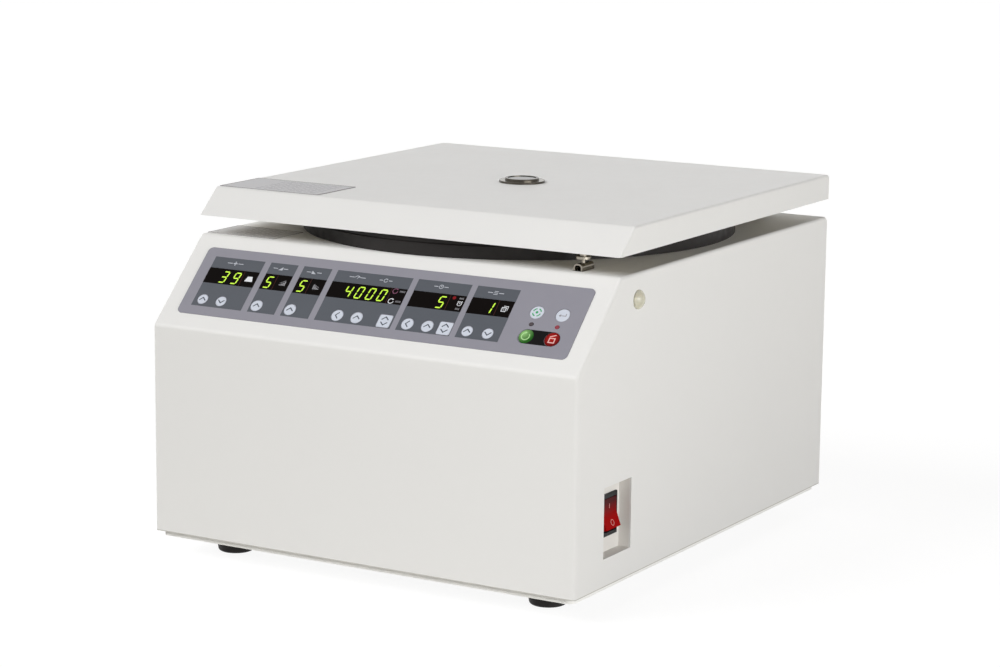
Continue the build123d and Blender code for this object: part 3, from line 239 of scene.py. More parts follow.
def rings(made, x, y, pitch):
    """Noise in fine rings about an upright axis, as a lathe or a spinning former leaves them."""
    tree = made.node_tree
    where = add(tree, "ShaderNodeTexCoord").outputs["Object"]
    centred = add(tree, "ShaderNodeMapping", {"Vector": where, "Location": (-x, -y, 0)})
    flat = add(tree, "ShaderNodeVectorMath", {0: centred, 1: (1, 1, 0)}, operation="MULTIPLY")
    out = add(tree, "ShaderNodeVectorMath", {0: flat}, operation="LENGTH")
    height = add(tree, "ShaderNodeSeparateXYZ", {0: where}).outputs["Z"]
    pair = add(tree, "ShaderNodeCombineXYZ", {"X": out.outputs["Value"], "Y": height})
    return add(tree, "ShaderNodeTexNoise", {"Vector": pair, "Scale": 1 / pitch,
                                            "Detail": 1.0}).outputs["Fac"]


def rise_of(made, what="Object"):
    """The height of a point, or the upward share of its Normal."""
    where = add(made.node_tree, "ShaderNodeTexCoord").outputs[what]
    return add(made.node_tree, "ShaderNodeSeparateXYZ", {0: where}).outputs["Z"]


def between(made, low, high):
    """A share that goes from 0 at one height to 1 at another."""
    return add(made.node_tree, "ShaderNodeMapRange", {"Value": rise_of(made), "From Min": low,
                                                      "From Max": high})


def wire(made, output, socket):
    """Links an output to a socket of the shader."""
    made.node_tree.links.new(output, made.node_tree.nodes["Principled BSDF"].inputs[socket])


def relief(made, height, depth):
    """Raises the surface by a pattern that is depth metres from low to high."""
    bump = add(made.node_tree, "ShaderNodeBump", {"Height": height, "Distance": depth})
    wire(made, bump.outputs[0], "Normal")


def vary(made, socket, pattern, low, high):
    """Mixes two colours by a pattern, or spreads its middle range over two numbers."""
    if isinstance(low, str):
        mix = add(made.node_tree, "ShaderNodeMix", {"Factor": pattern, 6: linear(low), 7: linear(high)},
                  data_type="RGBA")
        return wire(made, mix.outputs[2], socket)
    spread = add(made.node_tree, "ShaderNodeMapRange", {"Value": pattern, "From Min": 0.3,
                                                        "From Max": 0.7, "To Min": low, "To Max": high})
    wire(made, spread.outputs[0], socket)


print("a pattern of 9 mm has a scale of", round(1 / (9 * MM)))

# %% [markdown]
# ### Powder coat
# The casing, the lid and the pan are mild steel under a baked polyester powder coat. The powder
# flows into a skin with fine lumps, an orange peel of about 1.6 mm, which leaves the faces even but
# breaks up the bright line along each bend. The coat isn't dirty or worn anywhere, so its colour
# varies only by a hair. A fine grey band along the casing's lower edge is painted shade for the
# seam above the pan. The switch pocket has a darker copy of the coat, painted shade for the inside
# of the recess, and the pan a whiter one, a painted light that lifts it out of the shade under the
# casing. The lid's liner has a cream enamel, because the gap under the lid is beige in the
# photograph.

# %% Powder coat
def powder_coat(name):
    """The white coat with its orange peel. Its colour pattern is added by the caller."""
    made = finish(name, "#e6e6e5", 0.5, IOR=1.48, Specular_IOR_Level=0.25)
    relief(made, grain(made, 1.6 * MM, 3.0), 0.035 * MM)
    vary(made, "Roughness", grain(made, 9 * MM), 0.46, 0.56)
    return made


coat = powder_coat("white_polyester_powder_coat")
vary(coat, "Base Color", grain(coat, 60 * MM), "#e5e5e4", "#e8e8e7")

# A grey band from the casing's foot up to about half a millimetre is painted shade for the seam above
# the pan.
CASING_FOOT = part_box("outer_casing")[0].z
SEAM_SHADE_TOP, COAT_FROM = CASING_FOOT + 0.5 * MM, CASING_FOOT + 0.9 * MM
casing_coat = powder_coat("white_powder_coat_with_painted_seam_shade")
vary(casing_coat, "Base Color", between(casing_coat, SEAM_SHADE_TOP, COAT_FROM), "#bfbeb9", "#e6e6e5")

# The pan's coat is a whiter copy of the white coat, a painted light that lifts it out of the shade
# under the casing.
pan_coat = finish("whiter_pan_coat_painted_light", "#f4f4f2", 0.45, IOR=1.48)
vary(pan_coat, "Base Color", grain(pan_coat, 60 * MM), "#f2f2f0", "#f6f6f4")

liner_coat = finish("cream_baked_enamel", "#e0d8c2", 0.42, IOR=1.5)
vary(liner_coat, "Base Color", grain(liner_coat, 45 * MM), "#ddd5be", "#e3dbc6")

# A darker copy of the coat for the switch pocket: painted shade for the inside of the recess.
shade_coat = finish("white_powder_coat_painted_shade_inside", "#dfddd9", 0.55, IOR=1.48)
relief(shade_coat, grain(shade_coat, 1.2 * MM, 3.0), 0.03 * MM)
vary(shade_coat, "Base Color", grain(shade_coat, 35 * MM), "#dcdad6", "#e2e0dc")
print("coats", [c.name for c in (coat, casing_coat, pan_coat, liner_coat, shade_coat)])

# %% [markdown]
# ### Steels and alloys
# The bowl is spun from stainless sheet, so fine rings run round it. The rotor is milled from an
# aluminium bar and anodised silver, and its buckets are turned: both keep shallow tool marks. The
# latch, the viewport ring, the hinges and the screws are nickel or zinc plated, which is smooth and
# a little yellow or blue. The nickel's colour is darkened, a painted shade for the latch's shaded
# sides. The viewport ring is dark, and its upward-facing flange is painted lighter, a painted
# highlight, so one material takes its colour from the height and the tilt of the face. The guard
# ring, pins and shaft are bare steel, and the motor's housing is a rough casting.

# %% Steels and alloys
AXIS_Y = 25.4 * MM

stainless = finish("spun_stainless_steel", "#c9c8c4", 0.3, Metallic=1.0)
turned = rings(stainless, 0, AXIS_Y, 0.9 * MM)
relief(stainless, turned, 0.012 * MM)
vary(stainless, "Roughness", turned, 0.22, 0.38)
vary(stainless, "Base Color", grain(stainless, 40 * MM), "#c2c1bd", "#cfcecb")

rotor_alloy = finish("milled_silver_anodised_aluminium", "#c4c6c8", 0.34, Metallic=1.0)
milled = grain(rotor_alloy, 0.7 * MM, 1.0, (14, 1, 1))
relief(rotor_alloy, milled, 0.01 * MM)
vary(rotor_alloy, "Roughness", milled, 0.28, 0.42)

bucket_alloy = finish("turned_silver_anodised_aluminium", "#cbccce", 0.32, Metallic=1.0)
lathe = grain(bucket_alloy, 0.8 * MM, 1.0, (60, 60, 1))
relief(bucket_alloy, lathe, 0.012 * MM)
vary(bucket_alloy, "Roughness", lathe, 0.24, 0.4)

# The nickel's colour is darkened, a painted shade for the latch's shaded sides that mirror dark
# surroundings.
nickel = finish("nickel_plate_darkened_as_shade", "#9c968b", 0.22, Metallic=1.0)
vary(nickel, "Roughness", grain(nickel, 3 * MM), 0.16, 0.3)
relief(nickel, grain(nickel, 0.9 * MM), 0.004 * MM)

zinc = finish("blue_passivated_zinc_plate", "#b9bec3", 0.36, Metallic=1.0)
vary(zinc, "Roughness", grain(zinc, 2.5 * MM, 3.0), 0.28, 0.46)
vary(zinc, "Base Color", grain(zinc, 6 * MM), "#b1b6bc", "#c3c6c8")

bare_steel = finish("ground_bare_steel", "#a3a2a0", 0.34, Metallic=1.0)
vary(bare_steel, "Roughness", grain(bare_steel, 0.8 * MM, 1.0, (20, 20, 1)), 0.26, 0.44)
vary(bare_steel, "Base Color", grain(bare_steel, 25 * MM, 3.0), "#98979a", "#adaba7")

BEZEL_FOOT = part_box("viewport_ring")[1].z - 1.6 * MM
UPWARD = 0.95
polished = finish("nickel_sight_ring_with_painted_highlight", "#56524b", 0.2, Metallic=1.0)
tree = polished.node_tree
# Faces that look straight up, below the bezel, are painted lighter: a painted highlight on the flange.
painted_highlight_face = add(tree, "ShaderNodeMath", {0: rise_of(polished, "Normal"), 1: UPWARD},
                 operation="GREATER_THAN")
on_flange = add(tree, "ShaderNodeMath", {0: rise_of(polished), 1: BEZEL_FOOT},
                operation="LESS_THAN")
flange = add(tree, "ShaderNodeMath", {0: painted_highlight_face, 1: on_flange}, operation="MULTIPLY")
vary(polished, "Base Color", flange, "#56524b", "#827d73")
vary(polished, "Roughness", grain(polished, 2 * MM), 0.16, 0.26)

cast_alloy = finish("sand_cast_aluminium", "#8f9192", 0.55, Metallic=1.0)
relief(cast_alloy, grain(cast_alloy, 1.1 * MM, 4.0), 0.12 * MM)
vary(cast_alloy, "Roughness", grain(cast_alloy, 4 * MM), 0.48, 0.66)

brass = finish("tinned_contact_brass", "#cdb892", 0.28, Metallic=1.0)
vary(brass, "Roughness", grain(brass, 1.5 * MM), 0.22, 0.36)
print(len(bpy.data.materials), "materials so far")

# %% [markdown]
# ### Rubber, plastics and film
# The ring round the chamber and the feet are moulded rubber: nearly black, slightly warm, with a
# dull sheen and a fine grain from the mould. The switch is glass-filled nylon. Its rocker is red
# polycarbonate, whose upper half is painted darker towards its top, a painted shade, and the plug
# is soft natural polyethylene. The panel is a polycarbonate film printed from behind, with a fine
# velvet texture. Its keys are smoother. A low index keeps the deep red and the black ones from
# turning grey under the white room.

# %% Rubber, plastics and film
rubber = finish("moulded_black_rubber", "#1f1c1b", 0.6, IOR=1.52, Specular_IOR_Level=0.2)
relief(rubber, grain(rubber, 0.8 * MM, 3.0), 0.03 * MM)
vary(rubber, "Roughness", grain(rubber, 7 * MM), 0.44, 0.6)
vary(rubber, "Base Color", grain(rubber, 30 * MM, 3.0), "#1b1918", "#242120")

film = finish("velvet_polycarbonate_film", "#83828c", 0.5, IOR=1.585, Specular_IOR_Level=0.3)
relief(film, grain(film, 0.5 * MM, 2.0), 0.01 * MM)
vary(film, "Base Color", grain(film, 12 * MM), "#82818c", "#878690")

slate_ink = finish("slate_screen_ink", "#3a3f48", 0.5, IOR=1.585, Specular_IOR_Level=0.3)
relief(slate_ink, grain(slate_ink, 0.5 * MM, 2.0), 0.01 * MM)
vary(slate_ink, "Base Color", grain(slate_ink, 12 * MM), "#383d46", "#3d424b")

pane = finish("smoked_acrylic_pane", "#0a0706", 0.2, IOR=1.49, Specular_IOR_Level=0.03)
vary(pane, "Base Color", grain(pane, 18 * MM), "#070403", "#0d0807")

nylon = finish("moulded_black_nylon", "#1c1d1f", 0.46, IOR=1.53, Specular_IOR_Level=0.2)
relief(nylon, grain(nylon, 0.6 * MM, 3.0), 0.02 * MM)
vary(nylon, "Roughness", grain(nylon, 5 * MM), 0.36, 0.5)

red_lens = finish("red_polycarbonate", "#9c0606", 0.26, IOR=1.2, Specular_IOR_Level=0.06,
                  Subsurface_Weight=0.1, Subsurface_Radius=(0.003, 0.0004, 0.0004),
                  Subsurface_Scale=1.0)
# The upper half is painted darker towards its top, a painted shade.
LIT_UP_TO, PAINTED_SHADE_FROM = 64 * MM, 76 * MM
vary(red_lens, "Base Color", between(red_lens, LIT_UP_TO, PAINTED_SHADE_FROM), "#9c0606", "#4e2224")

natural_pe = finish("natural_polyethylene", "#c9c6b3", 0.26, IOR=1.51, Subsurface_Weight=0.35,
                    Subsurface_Radius=(0.003, 0.0025, 0.0018), Subsurface_Scale=1.0)
vary(natural_pe, "Roughness", grain(natural_pe, 3 * MM), 0.2, 0.32)

sight = finish("grey_tempered_glass", "#1d1f1f", 0.08, IOR=1.52, Transmission_Weight=0.35)
vary(sight, "Roughness", grain(sight, 8 * MM), 0.05, 0.12)

foil = finish("brushed_aluminium_foil", "#b1b0b2", 0.42, Metallic=0.55)
brushed = grain(foil, 0.5 * MM, 1.0, (40, 1, 1))
vary(foil, "Roughness", brushed, 0.36, 0.5)
vary(foil, "Base Color", brushed, "#a9a8aa", "#b8b7b9")

matt_foil = finish("matt_silver_polyester_label", "#c6c5c6", 0.55, Metallic=0.2)
brushed = grain(matt_foil, 0.5 * MM, 1.0, (40, 1, 1))
vary(matt_foil, "Roughness", brushed, 0.5, 0.6)
vary(matt_foil, "Base Color", brushed, "#c0bfc0", "#cccbcc")

board = finish("green_solder_mask", "#1f5a3a", 0.34, IOR=1.55)
vary(board, "Base Color", grain(board, 1.6 * MM, 0.0), "#1a4f33", "#2a6d48")

pale_cap = finish("pale_key_film", "#c6ccd9", 0.3, IOR=1.585)
vary(pale_cap, "Base Color", grain(pale_cap, 6 * MM), "#c2c9d7", "#ccd1dd")
print(len(bpy.data.materials), "materials")

# %% [markdown]
# ### The start and stop keys
# Both domes have a painted highlight: a light patch at the upper left that fades to a deep edge.
# The distance from a point over the key makes the gradient, quickly at first and then more slowly.

# %% Start and stop keys
SLOPE_RISE, SLOPE_DEPTH = 61.6, 62.2
FRONT_BEND_Y, FRONT_BEND_Z = -207.6, 178.5
SLOPE = math.atan2(SLOPE_RISE, SLOPE_DEPTH)
PANEL = Matrix(((1, 0, 0, 0), (0, math.cos(SLOPE), -math.sin(SLOPE), FRONT_BEND_Y),
                (0, math.sin(SLOPE), math.cos(SLOPE), FRONT_BEND_Z), (0, 0, 0, 1)))
ON_PANEL = Matrix.Scale(MM, 4) @ PANEL
KEY_FADE = 8 * MM


def painted_highlight_cap(name, u, v, pale, deep):
    """A key finish with a painted highlight, pale at one point of the panel and deep further away from
    it.
    """
    made = finish(name, deep, 0.26, IOR=1.4, Specular_IOR_Level=0.1)
    tree = made.node_tree
    spot = ON_PANEL @ Vector((u, v, 0.5))
    where = add(tree, "ShaderNodeTexCoord").outputs["Object"]
    away = add(tree, "ShaderNodeVectorMath", {0: where, 1: spot}, operation="DISTANCE")
    share = add(tree, "ShaderNodeMapRange", {"Value": away.outputs["Value"], "From Max": KEY_FADE})
    quick = add(tree, "ShaderNodeMath", {0: share, 1: 0.6}, operation="POWER")
    vary(made, "Base Color", quick, pale, deep)
    return made


green_cap = painted_highlight_cap("green_key_film", 127.2, 31.2, "#a2d488", "#1f5a17")
red_cap = painted_highlight_cap("red_key_film", 150.4, 30.0, "#c41d15", "#560508")
print(green_cap.name, red_cap.name)

# %% [markdown]
# ## Finishes on the CAD nodes
# The record gives each node a slot. The slots map to the finishes above, and a few nodes that share
# a slot but are made another way get their own.

# %% Dress the CAD nodes
BY_SLOT = {
    "white_enamel": coat, "stainless": stainless, "plated_steel": zinc,
    "plain_steel": bare_steel, "rotor_alloy": rotor_alloy, "motor_alloy": cast_alloy, "foil": foil,
    "black_rubber": rubber, "overlay_print": film, "smoked_pane": pane, "pale_key": pale_cap,
    "green_key": green_cap, "red_key": red_cap, "board": board, "switch_black": nylon,
    "rocker_red": red_lens, "plug_cream": natural_pe, "sight_glass": sight, "contact_brass": brass,
}
BY_NODE = {
    **dict.fromkeys(("latch_guide", "latch_striker", "rotor_nut"), nickel),
    **dict.fromkeys(("bucket_1", "bucket_2", "bucket_3", "bucket_4"), bucket_alloy),
    "viewport_ring": polished, "switch_recess": shade_coat, "base_pan": pan_coat,
    "lid_liner": liner_coat, "outer_casing": casing_coat, "deck_foil_plate": matt_foil,
}
for part in frame["record"]["subparts"]:
    worn = BY_NODE.get(part["node"], BY_SLOT[part["material_slot"]])
    for place in nodes[part["node"]].material_slots:
        place.material = worn

# %% [markdown]
# ## The printed panel
# The real panel is one polycarbonate film. Its grounds, legends and symbols are screen printed on
# the rear, and clear windows leave the displays free. The prints here are thin plates that stand
# a few hundredths of a millimetre out of the film, so that light treats them as the film's skin.
# Every outline is drawn in panel millimetres: u runs to the right from the middle and v up the
# slope from the front bend. Small symbols say what each display shows.

# %% Outlines in panel millimetres
def disc(u, v, radius, steps=40):
    """A circle as a closed outline."""
    turns = (2 * math.pi * i / steps for i in range(steps))
    return [(u + radius * math.cos(t), v + radius * math.sin(t)) for t in turns]


def plate(u0, u1, v0, v1, corner=0.0, steps=6):
    """A rectangle whose corners are rounded if corner isn't 0."""
    if not corner:
        return [(u0, v0), (u1, v0), (u1, v1), (u0, v1)]
    middles = ((u1 - corner, v1 - corner, 0), (u0 + corner, v1 - corner, 90),
               (u0 + corner, v0 + corner, 180), (u1 - corner, v0 + corner, 270))
    turns = [(u, v, math.radians(start + 90 * i / steps)) for u, v, start in middles
             for i in range(steps + 1)]
    return [(u + corner * math.cos(t), v + corner * math.sin(t)) for u, v, t in turns]


def bend(u, v, radius, start, end, steps=16):
    """The points of an arc, as a line to give a stroke."""
    turns = (math.radians(start + (end - start) * i / steps) for i in range(steps + 1))
    return [(u + radius * math.cos(t), v + radius * math.sin(t)) for t in turns]


def stroke(line, width):
    """The outline of a pen stroke along a line of points, with mitred corners."""
    points = [Vector(p) for p in line]
    left, right = [], []
    for i, here in enumerate(points):
        before = (here - points[i - 1]).normalized() if i else (points[1] - here).normalized()
        after = (points[i + 1] - here).normalized() if i + 1 < len(points) else before
        along = (before + after).normalized()
        out = Vector((-along.y, along.x)) * (width / 2 / max(along.dot(after), 0.4))
        left.append(tuple(here + out))
        right.append(tuple(here - out))
    return left + right[::-1]


def moved(outlines, u, v, turn=0, size=1.0):
    """Outlines drawn about 0, 0, then sized, turned by degrees and put at u, v."""
    c, s = size * math.cos(math.radians(turn)), size * math.sin(math.radians(turn))
    return [[(u + c * x - s * y, v + s * x + c * y) for x, y in line] for line in outlines]


print("a stroke of 3 points has", len(stroke([(-1, 0), (0, 1), (1, 0)], 0.4)), "corners")

# %% [markdown]
# A piece is made from shapes. Each shape is a list of outlines, the first one its edge and any
# others its holes. A flat curve fills it and gives it thickness, is made a mesh, and only then is
# laid on the slope. The faces are welded and made to point outwards, and the object stays at the
# origin.

# %% Thin plates from outlines
def put(name, mesh, body):
    """Makes a mesh a piece that rides on a body."""
    piece = bpy.data.objects.new(name, mesh)
    scene.collection.objects.link(piece)
    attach(piece, body)
    return piece


def print_piece(name, shapes, low, high, worn, body="casing", place=ON_PANEL,
                slot="overlay_print"):
    """One mesh of flat plates that reach from low to high above the place's plane."""
    joined = bmesh.new()
    for outlines in shapes:
        curve = bpy.data.curves.new(name, "CURVE")
        curve.dimensions = "2D"
        curve.fill_mode = "BOTH"
        curve.extrude = (high - low) / 2
        for outline in outlines:
            line = curve.splines.new("POLY")
            line.points.add(len(outline) - 1)
            line.use_cyclic_u = True
            for point, (u, v) in zip(line.points, outline):
                point.co = (u, v, 0, 1)
        holder = bpy.data.objects.new(name, curve)
        flat = bpy.data.meshes.new_from_object(holder)
        joined.from_mesh(flat)
        bpy.data.objects.remove(holder)
        bpy.data.curves.remove(curve)
        bpy.data.meshes.remove(flat)
    bmesh.ops.remove_doubles(joined, verts=joined.verts, dist=1e-4)
    bmesh.ops.recalc_face_normals(joined, faces=joined.faces)
    joined.transform(place @ Matrix.Translation((0, 0, (low + high) / 2)))
    mesh = bpy.data.meshes.new(name)
    joined.to_mesh(mesh)
    joined.free()
    mesh.materials.append(worn)
    return put(name, mesh, body)


FILM_TOP = 0.5
INK = (FILM_TOP - 0.03, FILM_TOP + 0.02)
print("ink from", INK[0], "to", INK[1], "mm above the slope")

# %% [markdown]
# ### Inks and lamps
# Legends are a pale grey ink, the key symbols a dark slate. The digits are light-emitting segments:
# a saturated yellow-green that glows by itself just enough to look lit in a bright room. Of the two
# small lamps under the film one is on and one is off.

# %% Inks and lamps
def lit(name, colour, glow, strength):
    """A clear ink or lens, with light of its own if strength isn't 0."""
    made = finish(name, colour, 0.3, IOR=1.49, Emission_Color=linear(glow), Emission_Strength=strength)
    vary(made, "Roughness", grain(made, 2 * MM), 0.25, 0.36)
    return made


def ink(name, pale, deep):
    """A screen ink seen through the velvet film, with the slight unevenness of a printed ground."""
    made = finish(name, pale, 0.5, IOR=1.3, Specular_IOR_Level=0.1)
    vary(made, "Base Color", grain(made, 3 * MM), deep, pale)
    return made


legend_ink = ink("pale_grey_legend_ink", "#c0c4cc", "#b4b8c2")
symbol_ink = ink("dark_slate_symbol_ink", "#4a505b", "#424853")
black_ink = ink("black_screen_ink", "#0e0c0d", "#0a0909")
white_ink = ink("white_legend_ink", "#e8ebf0", "#dde0e6")
grey_ink = ink("dim_grey_legend_ink", "#9a999e", "#8c8b90")
rust_ink = ink("rust_divider_ink", "#4a2620", "#3e1f1a")
green_ink = ink("leaf_green_symbol_ink", "#4aa873", "#409c68")
pink_ink = ink("rose_legend_ink", "#8a5a72", "#7d5066")
red_ink = ink("dim_red_legend_ink", "#8a1c22", "#7b161c")
digit_lamp = lit("yellow_green_led_segment", "#5d7a14", "#c4ee28", 0.95)
crimson_lamp = lit("crimson_led_on", "#64061e", "#c00c38", 0.18)
dark_lamp = lit("maroon_led_off", "#2c1c24", "#2c1c24", 0.0)
start_ink = lit("pale_green_key_symbol", "#a4d48c", "#a4d48c", 0.0)
stop_ink = lit("pale_rose_key_symbol", "#e6b4ae", "#e6b4ae", 0.0)
rocker_ink = ink("pale_rose_rocker_ink", "#dfa8a4", "#d49c98")
print(len(bpy.data.materials), "materials")

# %% [markdown]
# ### Slate grounds and dividers
# Six slate grounds group the displays with their keys. Each is printed in two strips, below and
# above its window, and the lower one leaves a hole round each key, because a key sinks through it.

# %% Slate grounds and dividers
GROUNDS = {"rotor": (-158.3, -112.5), "acceleration": (-107.0, -82.4), "deceleration": (-77.1, -52.1),
           "speed": (-46.8, 19.1), "time": (23.9, 69.4), "program": (74.2, 109.7)}
WINDOW_V = (42.5, 56.8)
GROUND_V = (21.0, 67.1)
KEY_ROW = 27.3
KEYS = {
    # Middle, width and sign of each key.
    "key_rotor_up": (-150.6, KEY_ROW, 8.7, "up"), "key_rotor_down": (-133.7, KEY_ROW, 8.7, "down"),
    "key_acceleration": (-101.2, KEY_ROW, 9.7, "up"), "key_deceleration": (-71.1, KEY_ROW, 9.7, "up"),
    "key_speed_digit": (-29.1, KEY_ROW, 9.7, "left"), "key_speed_up": (-12.2, KEY_ROW, 9.7, "up"),
    "key_speed_mode": (12.0, KEY_ROW, 11.1, "mode"), "key_time_digit": (31.6, KEY_ROW, 9.7, "left"),
    "key_time_up": (48.5, KEY_ROW, 9.7, "up"), "key_time_mode": (63.2, KEY_ROW, 11.1, "mode"),
    "key_program_up": (82.0, KEY_ROW, 8.7, "up"), "key_program_down": (99.0, KEY_ROW, 8.7, "down"),
    "key_recall": (130.0, 49.9, 10.9, "recall"), "key_save": (151.0, 49.9, 10.9, "save"),
    "key_start": (129.4, 28.9, 11.8, "start"), "key_stop": (151.0, 28.7, 11.8, "stop"),
}


def key_hole(name, spare=0.3):
    """The outline that keeps a print clear of a key."""
    u, v, width, sign = KEYS[name]
    half = width / 2 + spare
    return plate(u - half, u + half, v - half, v + half, 1.6) if sign == "mode" else disc(u, v, half)


strips = []
for u0, u1 in GROUNDS.values():
    holes = [key_hole(k) for k, (u, v, *_) in KEYS.items() if u0 < u < u1 and v < WINDOW_V[0]]
    strips.append([plate(u0, u1, GROUND_V[0], WINDOW_V[0]), *holes])
    strips.append([plate(u0, u1, WINDOW_V[1], GROUND_V[1])])
print_piece("print_slate_grounds", strips, *INK, slate_ink)

DIVIDERS = (-125.8, -95.5, -65.2, 5.5, 56.0, 96.9)
DIVIDER_V = (WINDOW_V[0] + 0.4, WINDOW_V[1] - 0.4)
lines = [[plate(u - 0.2, u + 0.2, *DIVIDER_V)] for u in DIVIDERS]
print_piece("print_dividers", lines, *INK, rust_ink)
PILL = (123.2, 156.9, 22.6, 34.9)
pill = [plate(*PILL, 6.1, 10), key_hole("key_start", 0.25), key_hole("key_stop", 0.25)]
print_piece("print_start_stop_ground", [pill], *INK, black_ink)
print(len(strips), "strips")

# %% [markdown]
# ### Legends and window symbols
# A small symbol heads each ground: a rotor cross, a rising and a falling ramp, a dial, a curved
# arrow, a clock and a list, each between two short rules. The windows carry the symbols beside the
# digits: a tube rack's outline, ramps, turning arrows, an alarm clock and a page.

# %% Legends and window symbols
def turning_arrow(radius, width, start=60, end=360):
    """A circular arrow as outlines about 0, 0."""
    tip = Vector((radius * math.cos(math.radians(start)), radius * math.sin(math.radians(start))))
    back = Vector((math.sin(math.radians(start)), -math.cos(math.radians(start))))
    out = Vector((-back.y, back.x)) * 1.3 * width
    head = [tuple(tip + back * 1.9 * width), tuple(tip + out), tuple(tip - out)]
    return [[stroke(bend(0, 0, radius, start, end), width)], [head]]


def ramp(falling):
    """Four bars that grow or shrink to the right, with a thin arrow line over them."""
    heights = [0.8, 1.7, 2.7, 3.8]
    tops = heights[::-1] if falling else heights
    bars = [[plate(-2.7 + 1.4 * i, -1.6 + 1.4 * i, -2.3, -2.3 + h)] for i, h in enumerate(tops)]
    slant = [(-2.6, 2.2), (2.6, -0.6)] if falling else [(-2.6, -0.3), (2.2, 2.4)]
    return bars + [[stroke(slant, 0.35)]]


def ring(u, v, radius, width):
    """A ring as one shape with a hole."""
    return [disc(u, v, radius + width / 2, 28), disc(u, v, radius - width / 2, 28)]


RULE_PITCH, RULE_WIDE, RULE_TALL = 0.95, 0.45, 1.5


def rules(u, v, count):
    """A few short upright marks in a row."""
    low, high = v - RULE_TALL / 2, v + RULE_TALL / 2
    starts = (u + RULE_PITCH * i for i in range(count))
    return [[plate(start, start + RULE_WIDE, low, high)] for start in starts]


def all_moved(shapes, u, v, turn=0, size=1.0):
    """Moves every shape of a symbol."""
    return [moved(outlines, u, v, turn, size) for outlines in shapes]


cross = [[plate(-1.5, 1.5, -0.35, 0.35)], [plate(-0.35, 0.35, 0.45, 1.5)],
         [plate(-0.35, 0.35, -1.5, -0.45)]]
clock = [ring(0, 0, 1.35, 0.4), [stroke([(0, 0.9), (0, 0), (0.7, 0)], 0.35)]]
gauge = [[stroke(bend(0, -0.8, 1.9, 20, 160, 10), 0.45)], [stroke([(0, -0.9), (0.9, 0.5)], 0.4)]]
listing = [[plate(-1.4, 1.4, y, y + 0.4)] for y in (-1.3, -0.2, 0.9)]
rising = [[[(-1.6, -1.2), (1.6, -1.2), (1.6, 1.2)]]]
falling = [[[(-1.6, 1.2), (-1.6, -1.2), (1.6, -1.2)]]]
HEAD_V = 62.4
# Each head's place along the panel, its symbol, and the length of the rules beside it.
HEADS = {-137.9: (cross, 4.6), -96.3: (rising, 4.0), -66.2: (falling, 4.0), -27.6: (gauge, 4.4),
         -2.8: (turning_arrow(1.25, 0.42), 3.0), 45.0: (clock, 3.4), 91.0: (listing, 4.0)}
legends = []
for u, (symbol, reach) in HEADS.items():
    legends += all_moved(symbol, u, HEAD_V, size=1.2)
    for side in (-1, 1):
        ends = sorted((u + side * 2.6, u + side * (2.6 + reach)))
        legends.append([plate(*ends, HEAD_V - 0.3, HEAD_V + 0.3)])
print_piece("print_legends", legends, FILM_TOP, FILM_TOP + 0.04, legend_ink)

rack = [[[(-3.6, -2.3), (3.6, -2.3), (2.1, 2.3), (-2.1, 2.3)]]]
page = [[plate(-2.6, 1.3, -2.6, 1.4, 0.4), plate(-2.0, 0.7, -2.0, 0.8, 0.2)],
        [stroke([(-1.4, 2.3), (2.3, 2.3), (2.3, -1.5)], 0.45)], [plate(-1.3, 0.0, -0.3, 0.1)],
        [plate(-1.3, 0.0, -1.3, -0.9)]]
alarm = [ring(0, 0, 1.75, 0.45), [stroke([(0, 1.1), (0, 0), (0.9, 0)], 0.4)],
         [stroke([(-2.2, 1.5), (-1.3, 2.3)], 0.5)], [stroke([(2.2, 1.5), (1.3, 2.3)], 0.5)]]
bright = all_moved(rack, -119.1, 49.8) + all_moved(page, 103.6, 49.7)
bright += all_moved(alarm, 65.8, 49.6) + all_moved(turning_arrow(2.1, 0.6), 9.2, 45.2)
ramps = all_moved(ramp(False), -88.5, 49.8) + all_moved(ramp(True), -58.5, 49.8)
marks = [r for u, v, count in ((13.2, 54.2, 5), (13.2, 45.2, 5), (64.2, 54.2, 4), (64.2, 44.9, 4))
         for r in rules(u, v, count)]
PANE_INK = (FILM_TOP - 0.01, FILM_TOP + 0.02)
print_piece("window_symbols_white", bright, *PANE_INK, white_ink, slot="smoked_pane")
print_piece("window_symbols_grey", ramps + marks, *PANE_INK, grey_ink, slot="smoked_pane")
print_piece("window_symbol_rose", all_moved(turning_arrow(2.1, 0.6), 9.2, 54.2), *PANE_INK, pink_ink,
            slot="smoked_pane")
print_piece("window_symbol_red", [[disc(59.6, 54.2, 1.4)]], *PANE_INK, red_ink, slot="smoked_pane")
print(len(legends), "legend shapes")

# %% [markdown]
# ### Seven-segment digits
# Each digit is up to seven bars of the same shape, so Geometry Nodes makes them: every lit bar is a
# point with a turn, a pointed bar is set on each point, and the whole display is then sheared, as
# these displays are. The tree ends in real geometry with its own material.

# %% Seven-segment digits
DIGIT_TALL = 9.8
DIGIT_WIDE = 4.7
BAR_WIDE = 1.05
BAR_LONG = 4.5
SLANT = math.radians(9)
DIGIT_V = 49.2
UP_RIGHT, MID = DIGIT_WIDE / 2, DIGIT_TALL / 2
BARS = {"a": (0, MID, 0), "b": (UP_RIGHT, MID / 2, 1), "c": (UP_RIGHT, -MID / 2, 1), "d": (0, -MID, 0),
        "e": (-UP_RIGHT, -MID / 2, 1), "f": (-UP_RIGHT, MID / 2, 1), "g": (0, 0, 0)}
LIT = {"0": "abcdef", "1": "bc", "3": "abcdg", "4": "bcfg", "5": "acdfg", "9": "abcdfg"}
SHOWN = [("3", -141.8), ("9", -131.0), ("5", -101.1), ("5", -70.9), ("4", -29.6), ("0", -19.8),
         ("0", -10.0), ("0", -0.2), ("5", 50.4), ("1", 91.0)]


